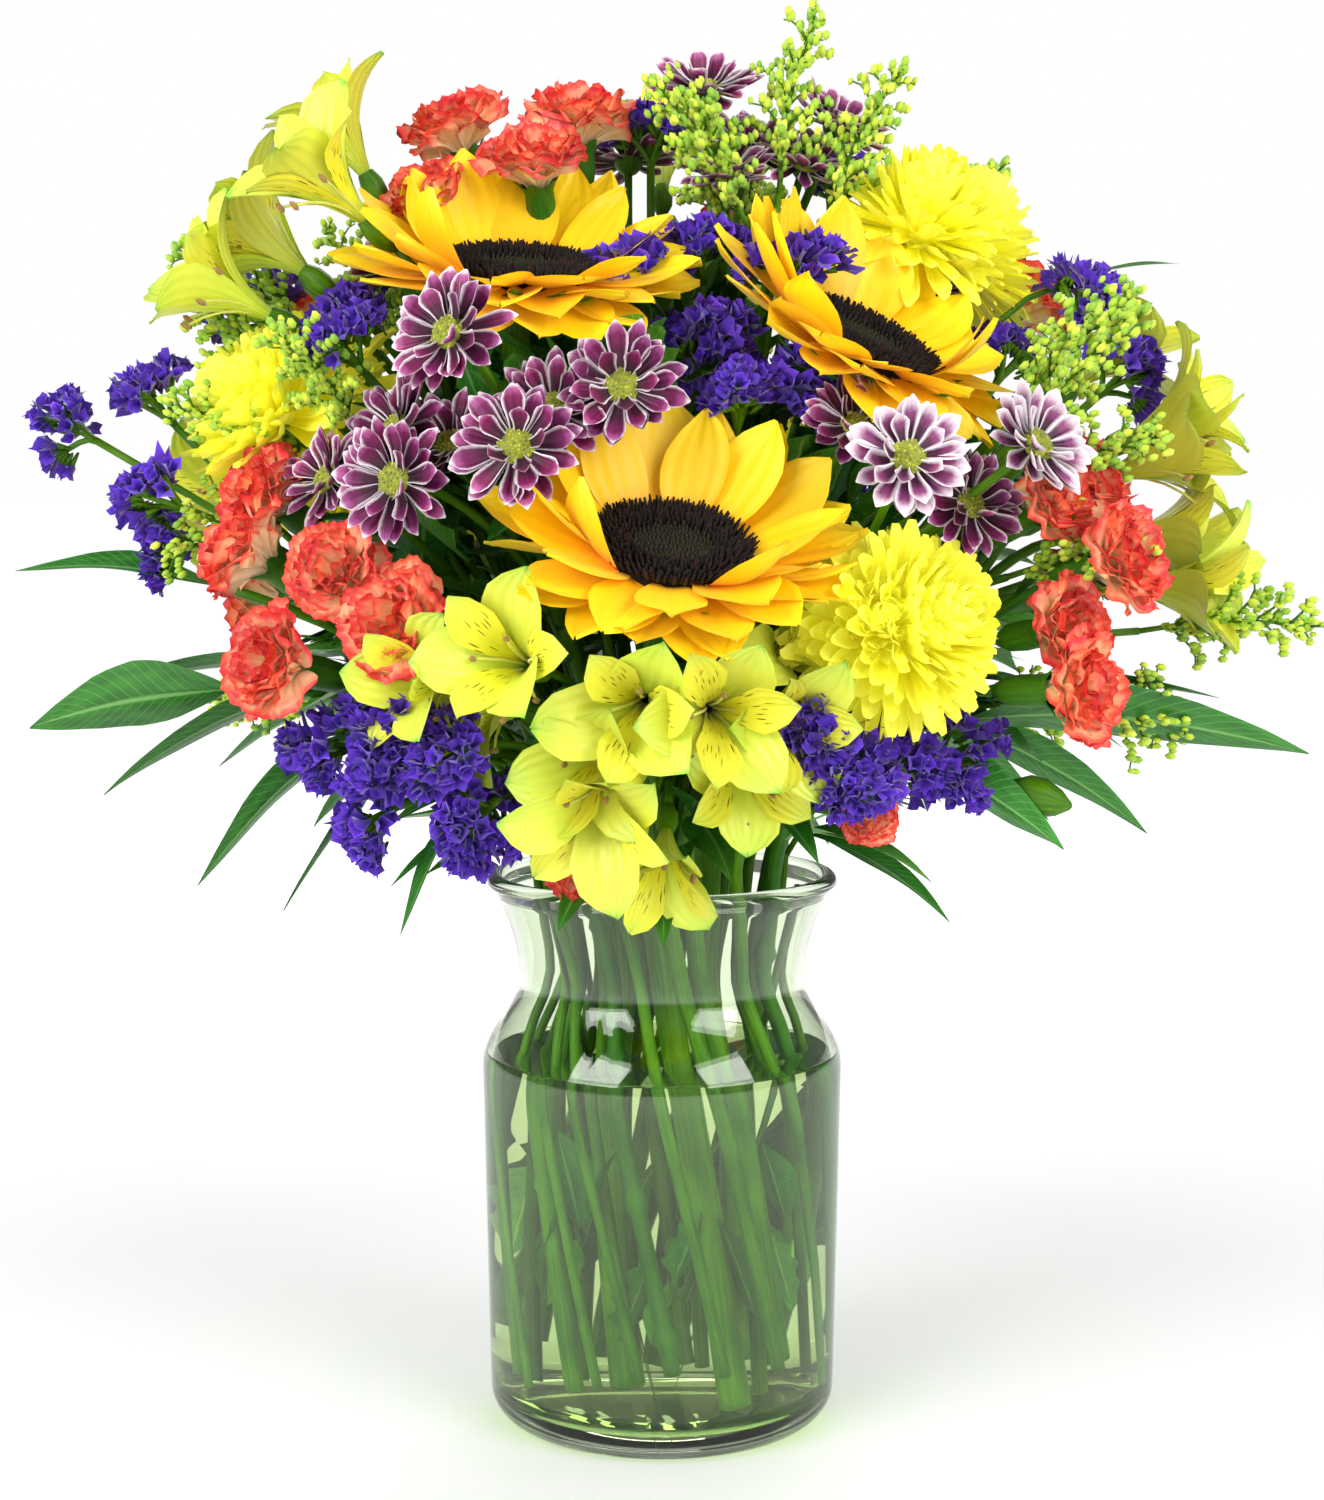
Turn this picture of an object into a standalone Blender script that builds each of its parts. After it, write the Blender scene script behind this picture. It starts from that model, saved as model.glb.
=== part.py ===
"""A glass vase of mixed cut flowers: three sunflowers with mums, carnations, daisies and greenery.

Units are metres and +Z is up. The origin is the middle of the vase's flat underside, the front of
the bouquet faces -Y and +X is to its right.

Every cut stem stands in the vase on its own place of a spiral, so stems never cross. Above the rim
each stem bends towards its own bloom. spread_apart() then moves blooms and stems until none touch.
"""
import math

import bmesh
import bpy
import numpy as np
from mathutils import Matrix, Vector

MM = 0.001
GAP = 0.3 * MM  # clearance between two pieces that meet

# vase
VASE_HEIGHT = 195 * MM
BODY_RADIUS = 63.5 * MM
BASE_RADIUS = 61 * MM
NECK_RADIUS = 50.5 * MM
FLARE_RADIUS = 60 * MM
RIM_BEAD = 3.2 * MM  # radius of the rolled edge
SHOULDER_HEIGHT = 127 * MM
NECK_HEIGHT = 158 * MM
HEEL_RADIUS = 11 * MM
WALL = 3 * MM
FLOOR = 9 * MM
VASE_STEPS = 28

# water and stems
WATER_LEVEL = 130 * MM
STEM_END = 4 * MM  # lowest stem end above the glass floor
STEM_END_STEP = 5 * MM  # stems are cut to four slightly different lengths
STEM_CLEAR = 1.6 * MM  # between a stem and the glass
RIM_CLEAR = 4 * MM  # a stem runs straight until it is this far above the rim
STEM_TWIST = math.radians(-52)  # turn of the stem spiral from the floor to the rim
STEM_SIDES = 6

# blooms
SUNFLOWER_RADIUS = 57 * MM
SUNFLOWER_DISC_RADIUS = 25 * MM
SUNFLOWER_STEM = 5 * MM
MUM_RADIUS = 36 * MM
MUM_STEM = 3.2 * MM
CARNATION_RADIUS = 22 * MM
CARNATION_STEM = 2.8 * MM
DAISY_RADIUS = 21 * MM
DAISY_STEM = 2.4 * MM
LILY_RADIUS = 24 * MM
LILY_STEM = 2.8 * MM
STATICE_RADIUS = 12 * MM
STATICE_STEM = 2.2 * MM
PLUME_RADIUS = 9 * MM
PLUME_STEM = 2 * MM
LEAF_STEM = 1.8 * MM
LEAF_THICKNESS = 1.4 * MM
BLADE_STEPS = 8  # facets along a leaf
TWIG = 1.5 * MM  # radius of a side branch

BLOOM_STEPS = 16  # facets round a sunflower
NECK_LENGTH = 6 * MM  # straight end of a stem, under its bloom

SETTLE_ROUNDS = 800
SETTLE_MARGIN = 1.7 * MM
NEAR = 16 * MM  # balls closer than this are watched
WATCH_ROUNDS = 12  # rounds between two searches for near balls

GREEN = (0.10, 0.32, 0.05)
COLOURS = {
    "sunflower": (0.95, 0.62, 0.01),
    "disc": (0.02, 0.008, 0.004),
    "mum": (0.82, 0.82, 0.02),
    "carnation": (0.85, 0.13, 0.06),
    "daisy": (0.30, 0.02, 0.16),
    "lily": (0.70, 0.74, 0.03),
    "statice": (0.11, 0.02, 0.50),
    "goldenrod": (0.42, 0.58, 0.02),
    "leaf": (0.03, 0.17, 0.02),
}

# Each plant: name, kind, stem radius, and its blooms as (place in mm, (azimuth, elevation) it faces).
PLANTS = (
    ("sunflower_front", "sunflower", SUNFLOWER_STEM, [((4, -98, 312), (-90, 48))]),
    ("sunflower_left", "sunflower", SUNFLOWER_STEM, [((-47, -35, 404), (-100, 60))]),
    ("sunflower_right", "sunflower", SUNFLOWER_STEM, [((70, -40, 376), (-65, 55))]),
    ("mum_front", "mum", MUM_STEM, [((84, -92, 290), (-50, 20))]),
    ("mum_top", "mum", MUM_STEM, [((104, 28, 420), (-10, 60))]),
    ("mum_left", "mum", MUM_STEM, [((-134, -22, 362), (-175, 35))]),
    ("mum_back", "mum", MUM_STEM, [((24, 84, 345), (80, 35))]),
    (
        "carnation_left", "carnation", CARNATION_STEM,
        [((-134, -58, 312), (-160, 30)), ((-122, -84, 276), (-140, 10)), ((-78, -98, 292), (-115, 15))],
    ),
    (
        "carnation_top", "carnation", CARNATION_STEM,
        [((-26, 8, 444), (-100, 75)), ((-66, 2, 434), (-140, 60))],
    ),
    (
        "carnation_right", "carnation", CARNATION_STEM,
        [((136, -42, 334), (-15, 30)), ((140, -76, 302), (-35, 15)), ((128, -82, 268), (-40, 0))],
    ),
    (
        "carnation_back", "carnation", CARNATION_STEM,
        [((-58, 76, 362), (115, 50)), ((-96, 70, 318), (140, 25))],
    ),
    (
        "daisy_left", "daisy", DAISY_STEM,
        [
            ((-58, -88, 374), (-120, 20)), ((-20, -84, 372), (-90, 15)), ((-88, -76, 348), (-140, 20)),
            ((-46, -106, 345), (-95, 15)), ((-80, -94, 322), (-120, 5)),
        ],
    ),
    ("daisy_right", "daisy", DAISY_STEM, [((76, -108, 338), (-85, 20)), ((108, -80, 344), (-50, 30))]),
    (
        "daisy_top", "daisy", DAISY_STEM,
        [((6, 14, 455), (-90, 70)), ((30, 22, 452), (-60, 60)), ((62, 26, 450), (-40, 60))],
    ),
    (
        "daisy_back", "daisy", DAISY_STEM,
        [((84, 66, 372), (45, 45)), ((104, 56, 330), (35, 20)), ((-24, 88, 396), (100, 50))],
    ),
    (
        "lily_front", "lily", LILY_STEM,
        [
            ((-22, -106, 250), (-105, -10)), ((26, -98, 246), (-75, -15)),
            ((-58, -84, 266), (-130, 5)), ((44, -82, 272), (-60, 20)),
        ],
    ),
    ("lily_right", "lily", LILY_STEM, [((168, -26, 350), (-10, 25)), ((166, -20, 312), (-5, 0))]),
    ("lily_top", "lily", LILY_STEM, [((-98, -12, 432), (-170, 60)), ((-122, -14, 412), (170, 35))]),
    ("lily_back", "lily", LILY_STEM, [((48, 84, 284), (70, 5)), ((-22, 92, 300), (100, 10))]),
    (
        "statice_low_left", "statice", STATICE_STEM,
        [((-84, -72, 244), (-140, 0)), ((-56, -80, 236), (-120, -20))],
    ),
    (
        "statice_low_right", "statice", STATICE_STEM,
        [((54, -90, 252), (-55, 0)), ((74, -78, 240), (-45, 10))],
    ),
    (
        "statice_left", "statice", STATICE_STEM,
        [((-172, -4, 358), (175, 45)), ((-206, 10, 350), (175, 30)), ((-158, -34, 332), (-165, 20))],
    ),
    (
        "statice_centre", "statice", STATICE_STEM,
        [((13, -12, 408), (-90, 70)), ((26, -46, 386), (-80, 50)), ((-88, -58, 392), (-140, 50))],
    ),
    ("statice_right", "statice", STATICE_STEM, [((146, -6, 392), (0, 60)), ((122, 10, 372), (20, 50))]),
    ("statice_back", "statice", STATICE_STEM, [((-128, 46, 350), (150, 30)), ((14, 60, 410), (90, 65))]),
    ("goldenrod_top", "goldenrod", PLUME_STEM, [((38, 8, 428), (0, 82)), ((30, 0, 415), (-150, 55))]),
    (
        "goldenrod_left", "goldenrod", PLUME_STEM,
        [((-126, -8, 372), (170, 35)), ((-112, -42, 332), (-175, -25))],
    ),
    ("goldenrod_right", "goldenrod", PLUME_STEM, [((104, -48, 350), (-10, 50)), ((160, -28, 284), (0, 5))]),
    ("goldenrod_back", "goldenrod", PLUME_STEM, [((66, 50, 398), (40, 60)), ((-76, 48, 392), (140, 50))]),
    ("leaf_left_long", "leaf", LEAF_STEM, [((-150, -30, 296), (170, 14))]),
    ("leaf_left_broad", "leaf", LEAF_STEM, [((-142, -46, 262), (-178, -4))]),
    ("leaf_left_low", "leaf", LEAF_STEM, [((-112, -60, 254), (-155, -15))]),
    ("leaf_right_long", "leaf", LEAF_STEM, [((142, -46, 268), (12, 8))]),
    ("leaf_right_broad", "leaf", LEAF_STEM, [((96, -66, 258), (8, 4))]),
    ("leaf_back_left", "leaf", LEAF_STEM, [((-78, 70, 262), (135, 5))]),
    ("leaf_back_right", "leaf", LEAF_STEM, [((88, 62, 262), (40, 10))]),
)

# length, width and droop of each leaf blade, mm
LEAVES = {
    "leaf_left_long": (74, 17, 14),
    "leaf_left_broad": (66, 26, 8),
    "leaf_left_low": (52, 14, 10),
    "leaf_right_long": (78, 15, 12),
    "leaf_right_broad": (118, 24, 22),
    "leaf_back_left": (84, 24, 14),
    "leaf_back_right": (90, 20, 16),
}
PLUME_LENGTHS = {"goldenrod_top": 62, "goldenrod_left": 58, "goldenrod_right": 60, "goldenrod_back": 56}
MASS = {"sunflower": 6, "mum": 3, "leaf": 1.2}
# mm from a bloom's back to the middle of its face
FACE_DEPTH = {"sunflower": 14, "mum": 22, "carnation": 28, "daisy": 6, "lily": 24, "statice": 10}


def outer_radius(z):
    """The vase's outer radius at a height: straight body, shoulder, neck, then the flare."""
    if z < SHOULDER_HEIGHT:
        return BASE_RADIUS + (BODY_RADIUS - BASE_RADIUS) * z / SHOULDER_HEIGHT
    if z < NECK_HEIGHT:
        share = (z - SHOULDER_HEIGHT) / (NECK_HEIGHT - SHOULDER_HEIGHT)
        return BODY_RADIUS + (NECK_RADIUS - BODY_RADIUS) * (1 - math.cos(math.pi * share)) / 2
    share = min((z - NECK_HEIGHT) / (VASE_HEIGHT - RIM_BEAD - NECK_HEIGHT), 1)
    return NECK_RADIUS + (FLARE_RADIUS - NECK_RADIUS) * (1 - math.cos(math.pi / 2 * share))


def inner_radius(z):
    """The vase's inner radius at a height, rounded where the wall meets the floor."""
    inner_heel = HEEL_RADIUS - WALL
    rise = z - FLOOR
    if rise < inner_heel:
        dip = 1 - max(rise, 0) / inner_heel
        return outer_radius(z) - WALL - inner_heel * (1 - math.sqrt(max(1 - dip * dip, 0)))
    return outer_radius(z) - WALL


def spaced(low, high, count):
    """Evenly spaced values from low to high."""
    return [low + (high - low) * k / (count - 1) for k in range(count)]


def wall_heights():
    """Heights of the facets of the vase's inner wall, with one at the water's edge."""
    inner_heel = HEEL_RADIUS - WALL
    heights = [FLOOR, FLOOR + inner_heel * 0.3, FLOOR + inner_heel]
    heights += spaced(SHOULDER_HEIGHT, NECK_HEIGHT, 4)
    heights += spaced(NECK_HEIGHT, VASE_HEIGHT - 2 * RIM_BEAD, 4)[1:]
    return sorted(heights + [WATER_LEVEL])


def vase_profile():
    """The vase's section: up the inside from the floor's middle, over the bead, down the outside."""
    bead_height = VASE_HEIGHT - RIM_BEAD
    bead_reach = FLARE_RADIUS - WALL / 2
    points = [(0, FLOOR)]
    points += [(inner_radius(z), z) for z in wall_heights()]
    for degrees in (190, 130, 60, -10):
        turn = math.radians(degrees)
        points.append((bead_reach + RIM_BEAD * math.cos(turn), bead_height + RIM_BEAD * math.sin(turn)))
    outside = spaced(VASE_HEIGHT - 2 * RIM_BEAD, NECK_HEIGHT, 4)
    outside += spaced(NECK_HEIGHT, SHOULDER_HEIGHT, 4)[1:]
    points += [(outer_radius(z), z) for z in outside]
    for degrees in (0, 45, 90):
        turn = math.radians(degrees)
        reach = outer_radius(HEEL_RADIUS) - HEEL_RADIUS * (1 - math.cos(turn))
        points.append((reach, HEEL_RADIUS * (1 - math.sin(turn))))
    points.append((0, 0))
    return points


def water_profile():
    """The water's section: level top, then down just inside the glass."""
    wet = [z for z in wall_heights() if FLOOR < z <= WATER_LEVEL]
    points = [(0, WATER_LEVEL)]
    points += [(inner_radius(z) - GAP, z) for z in reversed(wet)]
    points.append((inner_radius(FLOOR) - GAP, FLOOR + GAP))
    points.append((0, FLOOR + GAP))
    return points


# ---------------------------------------------------------------- places of stems and blooms

def unit(v):
    """The direction of a vector, with length 1."""
    return v / np.linalg.norm(v)


def facing(azimuth, elevation):
    """A unit direction from two angles in degrees."""
    a, e = math.radians(azimuth), math.radians(elevation)
    return np.array([math.cos(e) * math.cos(a), math.cos(e) * math.sin(a), math.sin(e)])


def stem_place(spot, radius, z):
    """Where a stem of the spiral bundle is at a height inside the vase."""
    room = inner_radius(z)
    if z > VASE_HEIGHT - 2 * RIM_BEAD:
        room = min(room, FLARE_RADIUS - WALL / 2 - RIM_BEAD)
    reach = (room - radius - STEM_CLEAR) * np.linalg.norm(spot)
    turn = math.atan2(spot[1], spot[0]) + STEM_TWIST * (z / VASE_HEIGHT - 1)
    return np.array([reach * math.cos(turn), reach * math.sin(turn), z])


def spiral_spots(count):
    """Evenly packed points of the unit disc, with the middle one left free."""
    golden = math.pi * (3 - math.sqrt(5))
    spots = []
    for k in range(1, count + 1):
        reach = math.sqrt((k + 0.5) / (count + 1))
        spots.append(np.array([reach * math.cos(golden * k), reach * math.sin(golden * k)]))
    return spots


def choose_spots(plants):
    """Give each plant the spot on the side that its blooms lean to, so that stems don't cross."""
    mouth = np.array([0, 0, NECK_HEIGHT])
    wanted = []
    for plant in plants:
        lean = unit(np.mean([b["back"] for b in plant["blooms"]], axis=0) - mouth)
        tilt = math.acos(min(lean[2], 1)) / (math.pi / 3)
        wanted.append(lean[:2] / max(np.linalg.norm(lean[:2]), 1e-6) * min(1.0, tilt))
    spots = spiral_spots(len(plants))
    cost = np.array([[np.linalg.norm(want - spot) ** 2 for spot in spots] for want in wanted])
    taken = list(range(len(plants)))
    better = True
    while better:
        better = False
        for a in range(len(plants)):
            for b in range(a):
                gain = cost[a, taken[a]] + cost[b, taken[b]] - cost[a, taken[b]] - cost[b, taken[a]]
                if gain > 1e-9:
                    taken[a], taken[b] = taken[b], taken[a]
                    better = True
    for plant, place in zip(plants, taken):
        plant["spot"] = spots[place]


def bend(start, start_way, end, end_way, shift, shares):
    """A smooth curve between two points with their directions, bulged by shift."""
    reach = np.linalg.norm(end - start) * 0.36
    a, b = start + start_way * reach, end - end_way * reach
    t = np.asarray(shares)[:, None]
    curve = (1 - t) ** 3 * start + 3 * t * (1 - t) ** 2 * a + 3 * t * t * (1 - t) * b + t**3 * end
    return curve + 4 * t * (1 - t) * shift


def bloom_balls(kind, name, way):
    """Balls that fill a bloom: offsets from its back and their radii."""
    side = unit(np.cross(way, [0.12, 0.2, 1.0]))
    other = np.cross(way, side)
    balls = []

    def ring(count, reach, rise, radius):
        for k in range(count):
            turn = 2 * math.pi * k / count
            offset = way * rise + (side * math.cos(turn) + other * math.sin(turn)) * reach
            balls.append((offset, radius))

    if kind == "sunflower":
        ring(20, SUNFLOWER_RADIUS - 7 * MM, 24 * MM, 9.0 * MM)
        ring(12, SUNFLOWER_RADIUS - 21 * MM, 19 * MM, 8.5 * MM)
        ring(6, SUNFLOWER_DISC_RADIUS * 0.5, 15 * MM, 11 * MM)
    elif kind == "mum":
        ring(7, MUM_RADIUS * 0.5, MUM_RADIUS * 0.62, MUM_RADIUS * 0.52)
        ring(1, 0, MUM_RADIUS * 0.8, MUM_RADIUS * 0.55)
    elif kind == "carnation":
        ring(8, CARNATION_RADIUS * 0.58, 32 * MM, CARNATION_RADIUS * 0.46)
        ring(1, 0, 34 * MM, CARNATION_RADIUS * 0.4)
        ring(1, 0, 10 * MM, 7 * MM)
    elif kind == "daisy":
        ring(14, DAISY_RADIUS - 5 * MM, 8 * MM, 5.5 * MM)
        ring(1, 0, 7 * MM, 11 * MM)
    elif kind == "lily":
        ring(12, LILY_RADIUS - 7 * MM, 31 * MM, 7.5 * MM)
        ring(1, 0, 30 * MM, 12 * MM)
        ring(1, 0, 14 * MM, 9 * MM)
    elif kind == "statice":
        ring(1, 0, 7 * MM, 9 * MM)
        ring(1, 0, 16 * MM, STATICE_RADIUS)
    elif kind == "goldenrod":
        for share, radius in plume_shape():
            ring(1, 0, share * PLUME_LENGTHS[name] * MM, radius)
    else:
        for point, across, half in blade_line(name, way):
            for place in (-0.85, -0.43, 0, 0.43, 0.85):
                balls.append((point + across * half * place, max(half * 0.3, 3.2 * MM)))
    return balls


def plume_shape():
    """A goldenrod plume's (share of length, radius) pairs."""
    return [(k / 6, PLUME_RADIUS * (0.45 + 1.2 * (k / 6) - 1.35 * (k / 6) ** 2)) for k in range(7)]


def blade_line(name, way):
    """A leaf's midrib points from its stalk, with the direction across and the half width."""
    length, width, droop = (v * MM for v in LEAVES[name])
    across = unit(np.cross(way, [0, 0, 1.0]))
    line = []
    for k in range(BLADE_STEPS + 1):
        share = k / BLADE_STEPS
        point = way * length * share - np.array([0, 0, 1]) * droop * share**2
        half = width / 2 * math.sin(math.pi * (0.08 + 0.9 * share) ** 0.8)
        line.append((point, across, max(half, 1.2 * MM)))
    return line


def plan_plants():
    """The plants as dictionaries, each bloom with its back, the way it faces and its balls."""
    plants = []
    for name, kind, stem, blooms in PLANTS:
        plant = {"name": name, "kind": kind, "stem": stem, "blooms": [], "mass": MASS.get(kind, 1)}
        for place, angles in blooms:
            way = facing(*angles)
            depth = FACE_DEPTH.get(kind, 0)
            back = np.array(place) * MM - way * depth * MM
            plant["blooms"].append({"back": back, "way": way, "balls": bloom_balls(kind, name, way)})
        plants.append(plant)
    choose_spots(plants)
    for k, plant in enumerate(plants):
        rim = VASE_HEIGHT + RIM_CLEAR
        plant["foot"] = FLOOR + STEM_END + STEM_END_STEP * (k % 4)
        plant["rim"] = stem_place(plant["spot"], plant["stem"], rim)
        plant["rim_way"] = unit(plant["rim"] - stem_place(plant["spot"], plant["stem"], rim - 10 * MM))
        backs = [b["back"] for b in plant["blooms"]]
        middle = np.mean(backs, axis=0)
        plant["forked"] = len(backs) > 1
        plant["fork"] = plant["rim"] + (middle - plant["rim"]) * 0.5
        plant["bulge"] = np.zeros(3)
        for bloom in plant["blooms"]:
            bloom["bulge"] = np.zeros(3)
    return plants


def fork_way(plant):
    """The direction in which the stem passes its fork."""
    middle = np.mean([b["back"] for b in plant["blooms"]], axis=0)
    return unit(unit(middle - plant["fork"]) + unit(plant["fork"] - plant["rim"]))


def trunk_points(plant, shares):
    """Points of the stem from the rim to its fork, or to its only bloom."""
    if plant["forked"]:
        end, way = plant["fork"], fork_way(plant)
    else:
        end, way = plant["blooms"][0]["back"], plant["blooms"][0]["way"]
    return bend(plant["rim"], plant["rim_way"], end, way, plant["bulge"], shares)


def branch_points(plant, bloom, shares):
    """Points of a side branch from the fork to a bloom's back."""
    return bend(plant["fork"], fork_way(plant), bloom["back"], bloom["way"], bloom["bulge"], shares)


TRUNK_SHARES = np.linspace(0.06, 0.98, 17)
BRANCH_SHARES = np.linspace(0.12, 0.97, 10)


def gather_balls(plants):
    """Every ball: place, radius, plant number, bloom number (-1 on a trunk), and who moves it how much."""
    places, radii, owners, moves = [], [], [], []
    for p, plant in enumerate(plants):
        end = ("fork", p, 0) if plant["forked"] else ("back", p, 0)
        for t, place in zip(TRUNK_SHARES, trunk_points(plant, TRUNK_SHARES)):
            places.append(place)
            radii.append(plant["stem"])
            owners.append((p, -1, 0))
            moves.append(((end, t * t), (("bulge", p, -1), 4 * t * (1 - t))))
        for b, bloom in enumerate(plant["blooms"]):
            if plant["forked"]:
                for t, place in zip(BRANCH_SHARES, branch_points(plant, bloom, BRANCH_SHARES)):
                    places.append(place)
                    radii.append(TWIG)
                    owners.append((p, b, 0))
                    bulge, fork = (("bulge", p, b), 4 * t * (1 - t)), (("fork", p, 0), (1 - t) ** 2)
                    moves.append(((("back", p, b), t * t), bulge, fork))
            for offset, radius in bloom["balls"]:
                places.append(bloom["back"] + offset)
                radii.append(radius)
                owners.append((p, b, 1))
                moves.append(((("back", p, b), 1.0),))
    return np.array(places), np.array(radii), np.array(owners), moves


def shift_of(plants, key, step):
    """Move one fork, bloom or bulge."""
    what, p, b = key
    if what == "fork":
        plants[p]["fork"] = plants[p]["fork"] + step
    elif what == "back":
        plants[p]["blooms"][b]["back"] = plants[p]["blooms"][b]["back"] + step
    elif b < 0:
        plants[p]["bulge"] = plants[p]["bulge"] + step
    else:
        plants[p]["blooms"][b]["bulge"] = plants[p]["blooms"][b]["bulge"] + step


def rim_balls():
    """Balls along the vase's bead, which blooms and stems stay off."""
    count = 48
    reach = FLARE_RADIUS - WALL / 2
    turns = [2 * math.pi * k / count for k in range(count)]
    return np.array([[reach * math.cos(t), reach * math.sin(t), VASE_HEIGHT - RIM_BEAD] for t in turns])


def near_pairs(places, radii, owners):
    """Pairs of balls that are close and may not touch."""
    apart = places[:, None, :] - places[None, :, :]
    room = np.sqrt((apart**2).sum(-1)) - radii[:, None] - radii[None, :]
    plant, bloom, head = owners.T
    same_plant = plant[:, None] == plant[None, :]
    same_bloom = bloom[:, None] == bloom[None, :]
    on_trunk = (bloom[:, None] < 0) | (bloom[None, :] < 0)
    no_head = head[:, None] + head[None, :] == 0
    together = same_plant & (same_bloom | on_trunk | no_head)
    return np.nonzero((room < NEAR) & ~together)


def add_pushes(pushes, moves, ball, push):
    """Share one ball's push among what moves it."""
    for key, weight in moves[ball]:
        total = pushes.setdefault(key, [np.zeros(3), 0.0])
        total[0] += push * weight
        total[1] += weight


def spread_apart(plants):
    """Push blooms and stems off each other, a little each round, until they no longer touch."""
    rim = rim_balls()
    for turn in range(SETTLE_ROUNDS):
        places, radii, owners, moves = gather_balls(plants)
        if turn % WATCH_ROUNDS == 0:
            first, second = near_pairs(places, radii, owners)
            masses = np.array([plants[p]["mass"] for p, b, head in owners])
        pushes = {}
        apart = places[first] - places[second]
        distance = np.linalg.norm(apart, axis=1) + 1e-9
        deep = radii[first] + radii[second] + SETTLE_MARGIN - distance
        for k in np.nonzero(deep > 0)[0]:
            share = masses[second[k]] / (masses[first[k]] + masses[second[k]])
            add_pushes(pushes, moves, first[k], apart[k] / distance[k] * deep[k] * share)
        to_rim = places[:, None, :] - rim[None, :, :]
        distance = np.linalg.norm(to_rim, axis=2) + 1e-9
        deep = radii[:, None] + RIM_BEAD + SETTLE_MARGIN * 2 - distance
        for ball, k in zip(*np.nonzero(deep > 0)):
            add_pushes(pushes, moves, ball, to_rim[ball, k] / distance[ball, k] * deep[ball, k])
        for key, (push, weight) in pushes.items():
            shift_of(plants, key, push / max(weight, 0.5) * 1.1)


# ---------------------------------------------------------------- building

def make_collection(name):
    """A new or emptied collection of the scene."""
    collection = bpy.data.collections.get(name) or bpy.data.collections.new(name)
    if name not in bpy.context.scene.collection.children:
        bpy.context.scene.collection.children.link(collection)
    return collection


def paint(obj, colour, roughness=0.7):
    """Give an object a material of its own."""
    material = bpy.data.materials.new(obj.name)
    material.use_nodes = True
    shader = material.node_tree.nodes["Principled BSDF"]
    shader.inputs["Base Color"].default_value = (*colour, 1)
    shader.inputs["Roughness"].default_value = roughness
    shader.inputs["Metallic"].default_value = 0
    obj.data.materials.append(material)
    return shader


def turned(name, profile, steps, collection):
    """A solid of revolution about Z from (radius, height) pairs that run down its outer side."""
    mesh = bpy.data.meshes.new(name)
    edges = [(k, k + 1) for k in range(len(profile) - 1)]
    if profile[0][0] > 0:
        edges.append((len(profile) - 1, 0))
    mesh.from_pydata([(r, 0, z) for r, z in profile], edges, [])
    obj = bpy.data.objects.new(name, mesh)
    collection.objects.link(obj)
    screw = obj.modifiers.new("turn", "SCREW")
    screw.steps = screw.render_steps = steps
    screw.use_merge_vertices = True
    screw.merge_threshold = 0.05 * MM
    screw.use_smooth_shade = False
    return obj


def tube(name, points, radii, collection, sides=STEM_SIDES):
    """A closed tube along points, with a radius at each."""
    curve = bpy.data.curves.new(name, "CURVE")
    curve.dimensions = "3D"
    curve.fill_mode = "FULL"
    curve.bevel_depth = 1 * MM
    curve.bevel_resolution = (sides - 4) // 2
    curve.use_fill_caps = True
    spline = curve.splines.new("POLY")
    spline.points.add(len(points) - 1)
    for spot, place, radius in zip(spline.points, points, radii):
        spot.co = (*place, 1)
        spot.radius = radius / MM
    obj = bpy.data.objects.new(name, curve)
    collection.objects.link(obj)
    return obj


def as_mesh(obj, collection):
    """The same object as one welded mesh, which a Boolean can use."""
    name = obj.name
    graph = bpy.context.evaluated_depsgraph_get()
    mesh = bpy.data.meshes.new_from_object(obj.evaluated_get(graph))
    place = obj.matrix_world.copy()
    bpy.data.objects.remove(obj)
    form = bmesh.new()
    form.from_mesh(mesh)
    bmesh.ops.remove_doubles(form, verts=form.verts, dist=0.01 * MM)
    bmesh.ops.recalc_face_normals(form, faces=form.faces)
    form.to_mesh(mesh)
    form.free()
    solid = bpy.data.objects.new(name, mesh)
    solid.matrix_world = place
    collection.objects.link(solid)
    return solid


def join_with(obj, others):
    """Boolean-union the other solids into obj."""
    for other in others:
        union = obj.modifiers.new("join", "BOOLEAN")
        union.operation = "UNION"
        union.solver = "EXACT"
        union.object = other
        other.hide_render = True
        other.display_type = "WIRE"


def stand(obj, back, way):
    """Place a bloom with its back at a point and its top facing a way."""
    obj.location = back
    obj.rotation_euler = Vector(way).to_track_quat("Z", "Y").to_euler()


# bloom sections as (radius, height) shares of the bloom's radius, from the top's middle down
SECTIONS = {
    "mum": [
        (0, 1.22), (0.4, 1.2), (0.76, 1.03), (0.98, 0.72), (1, 0.5),
        (0.78, 0.25), (0.4, 0.08), (0.12, 0), (0, 0),
    ],
    "carnation": [
        (0, 1.86), (0.55, 1.9), (0.9, 1.7), (1, 1.45), (0.86, 1.18), (0.45, 0.9),
        (0.3, 0.62), (0.27, 0.18), (0.16, 0), (0, 0),
    ],
}
# heads that swell from a twig's end, as (height in mm, radius share), and the radius they share
SWELLS = {
    "daisy": ([(0, 0.1), (2.5, 0.35), (5, 0.9), (8, 1), (11, 0.88), (13, 0.35)], DAISY_RADIUS),
    "lily": ([(0, 0.12), (12, 0.3), (22, 0.62), (31, 1), (35, 0.95), (37, 0.5)], LILY_RADIUS),
    "statice": ([(0, 0.14), (4, 0.6), (10, 0.95), (18, 1), (24, 0.72), (27, 0.3)], STATICE_RADIUS),
}


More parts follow.
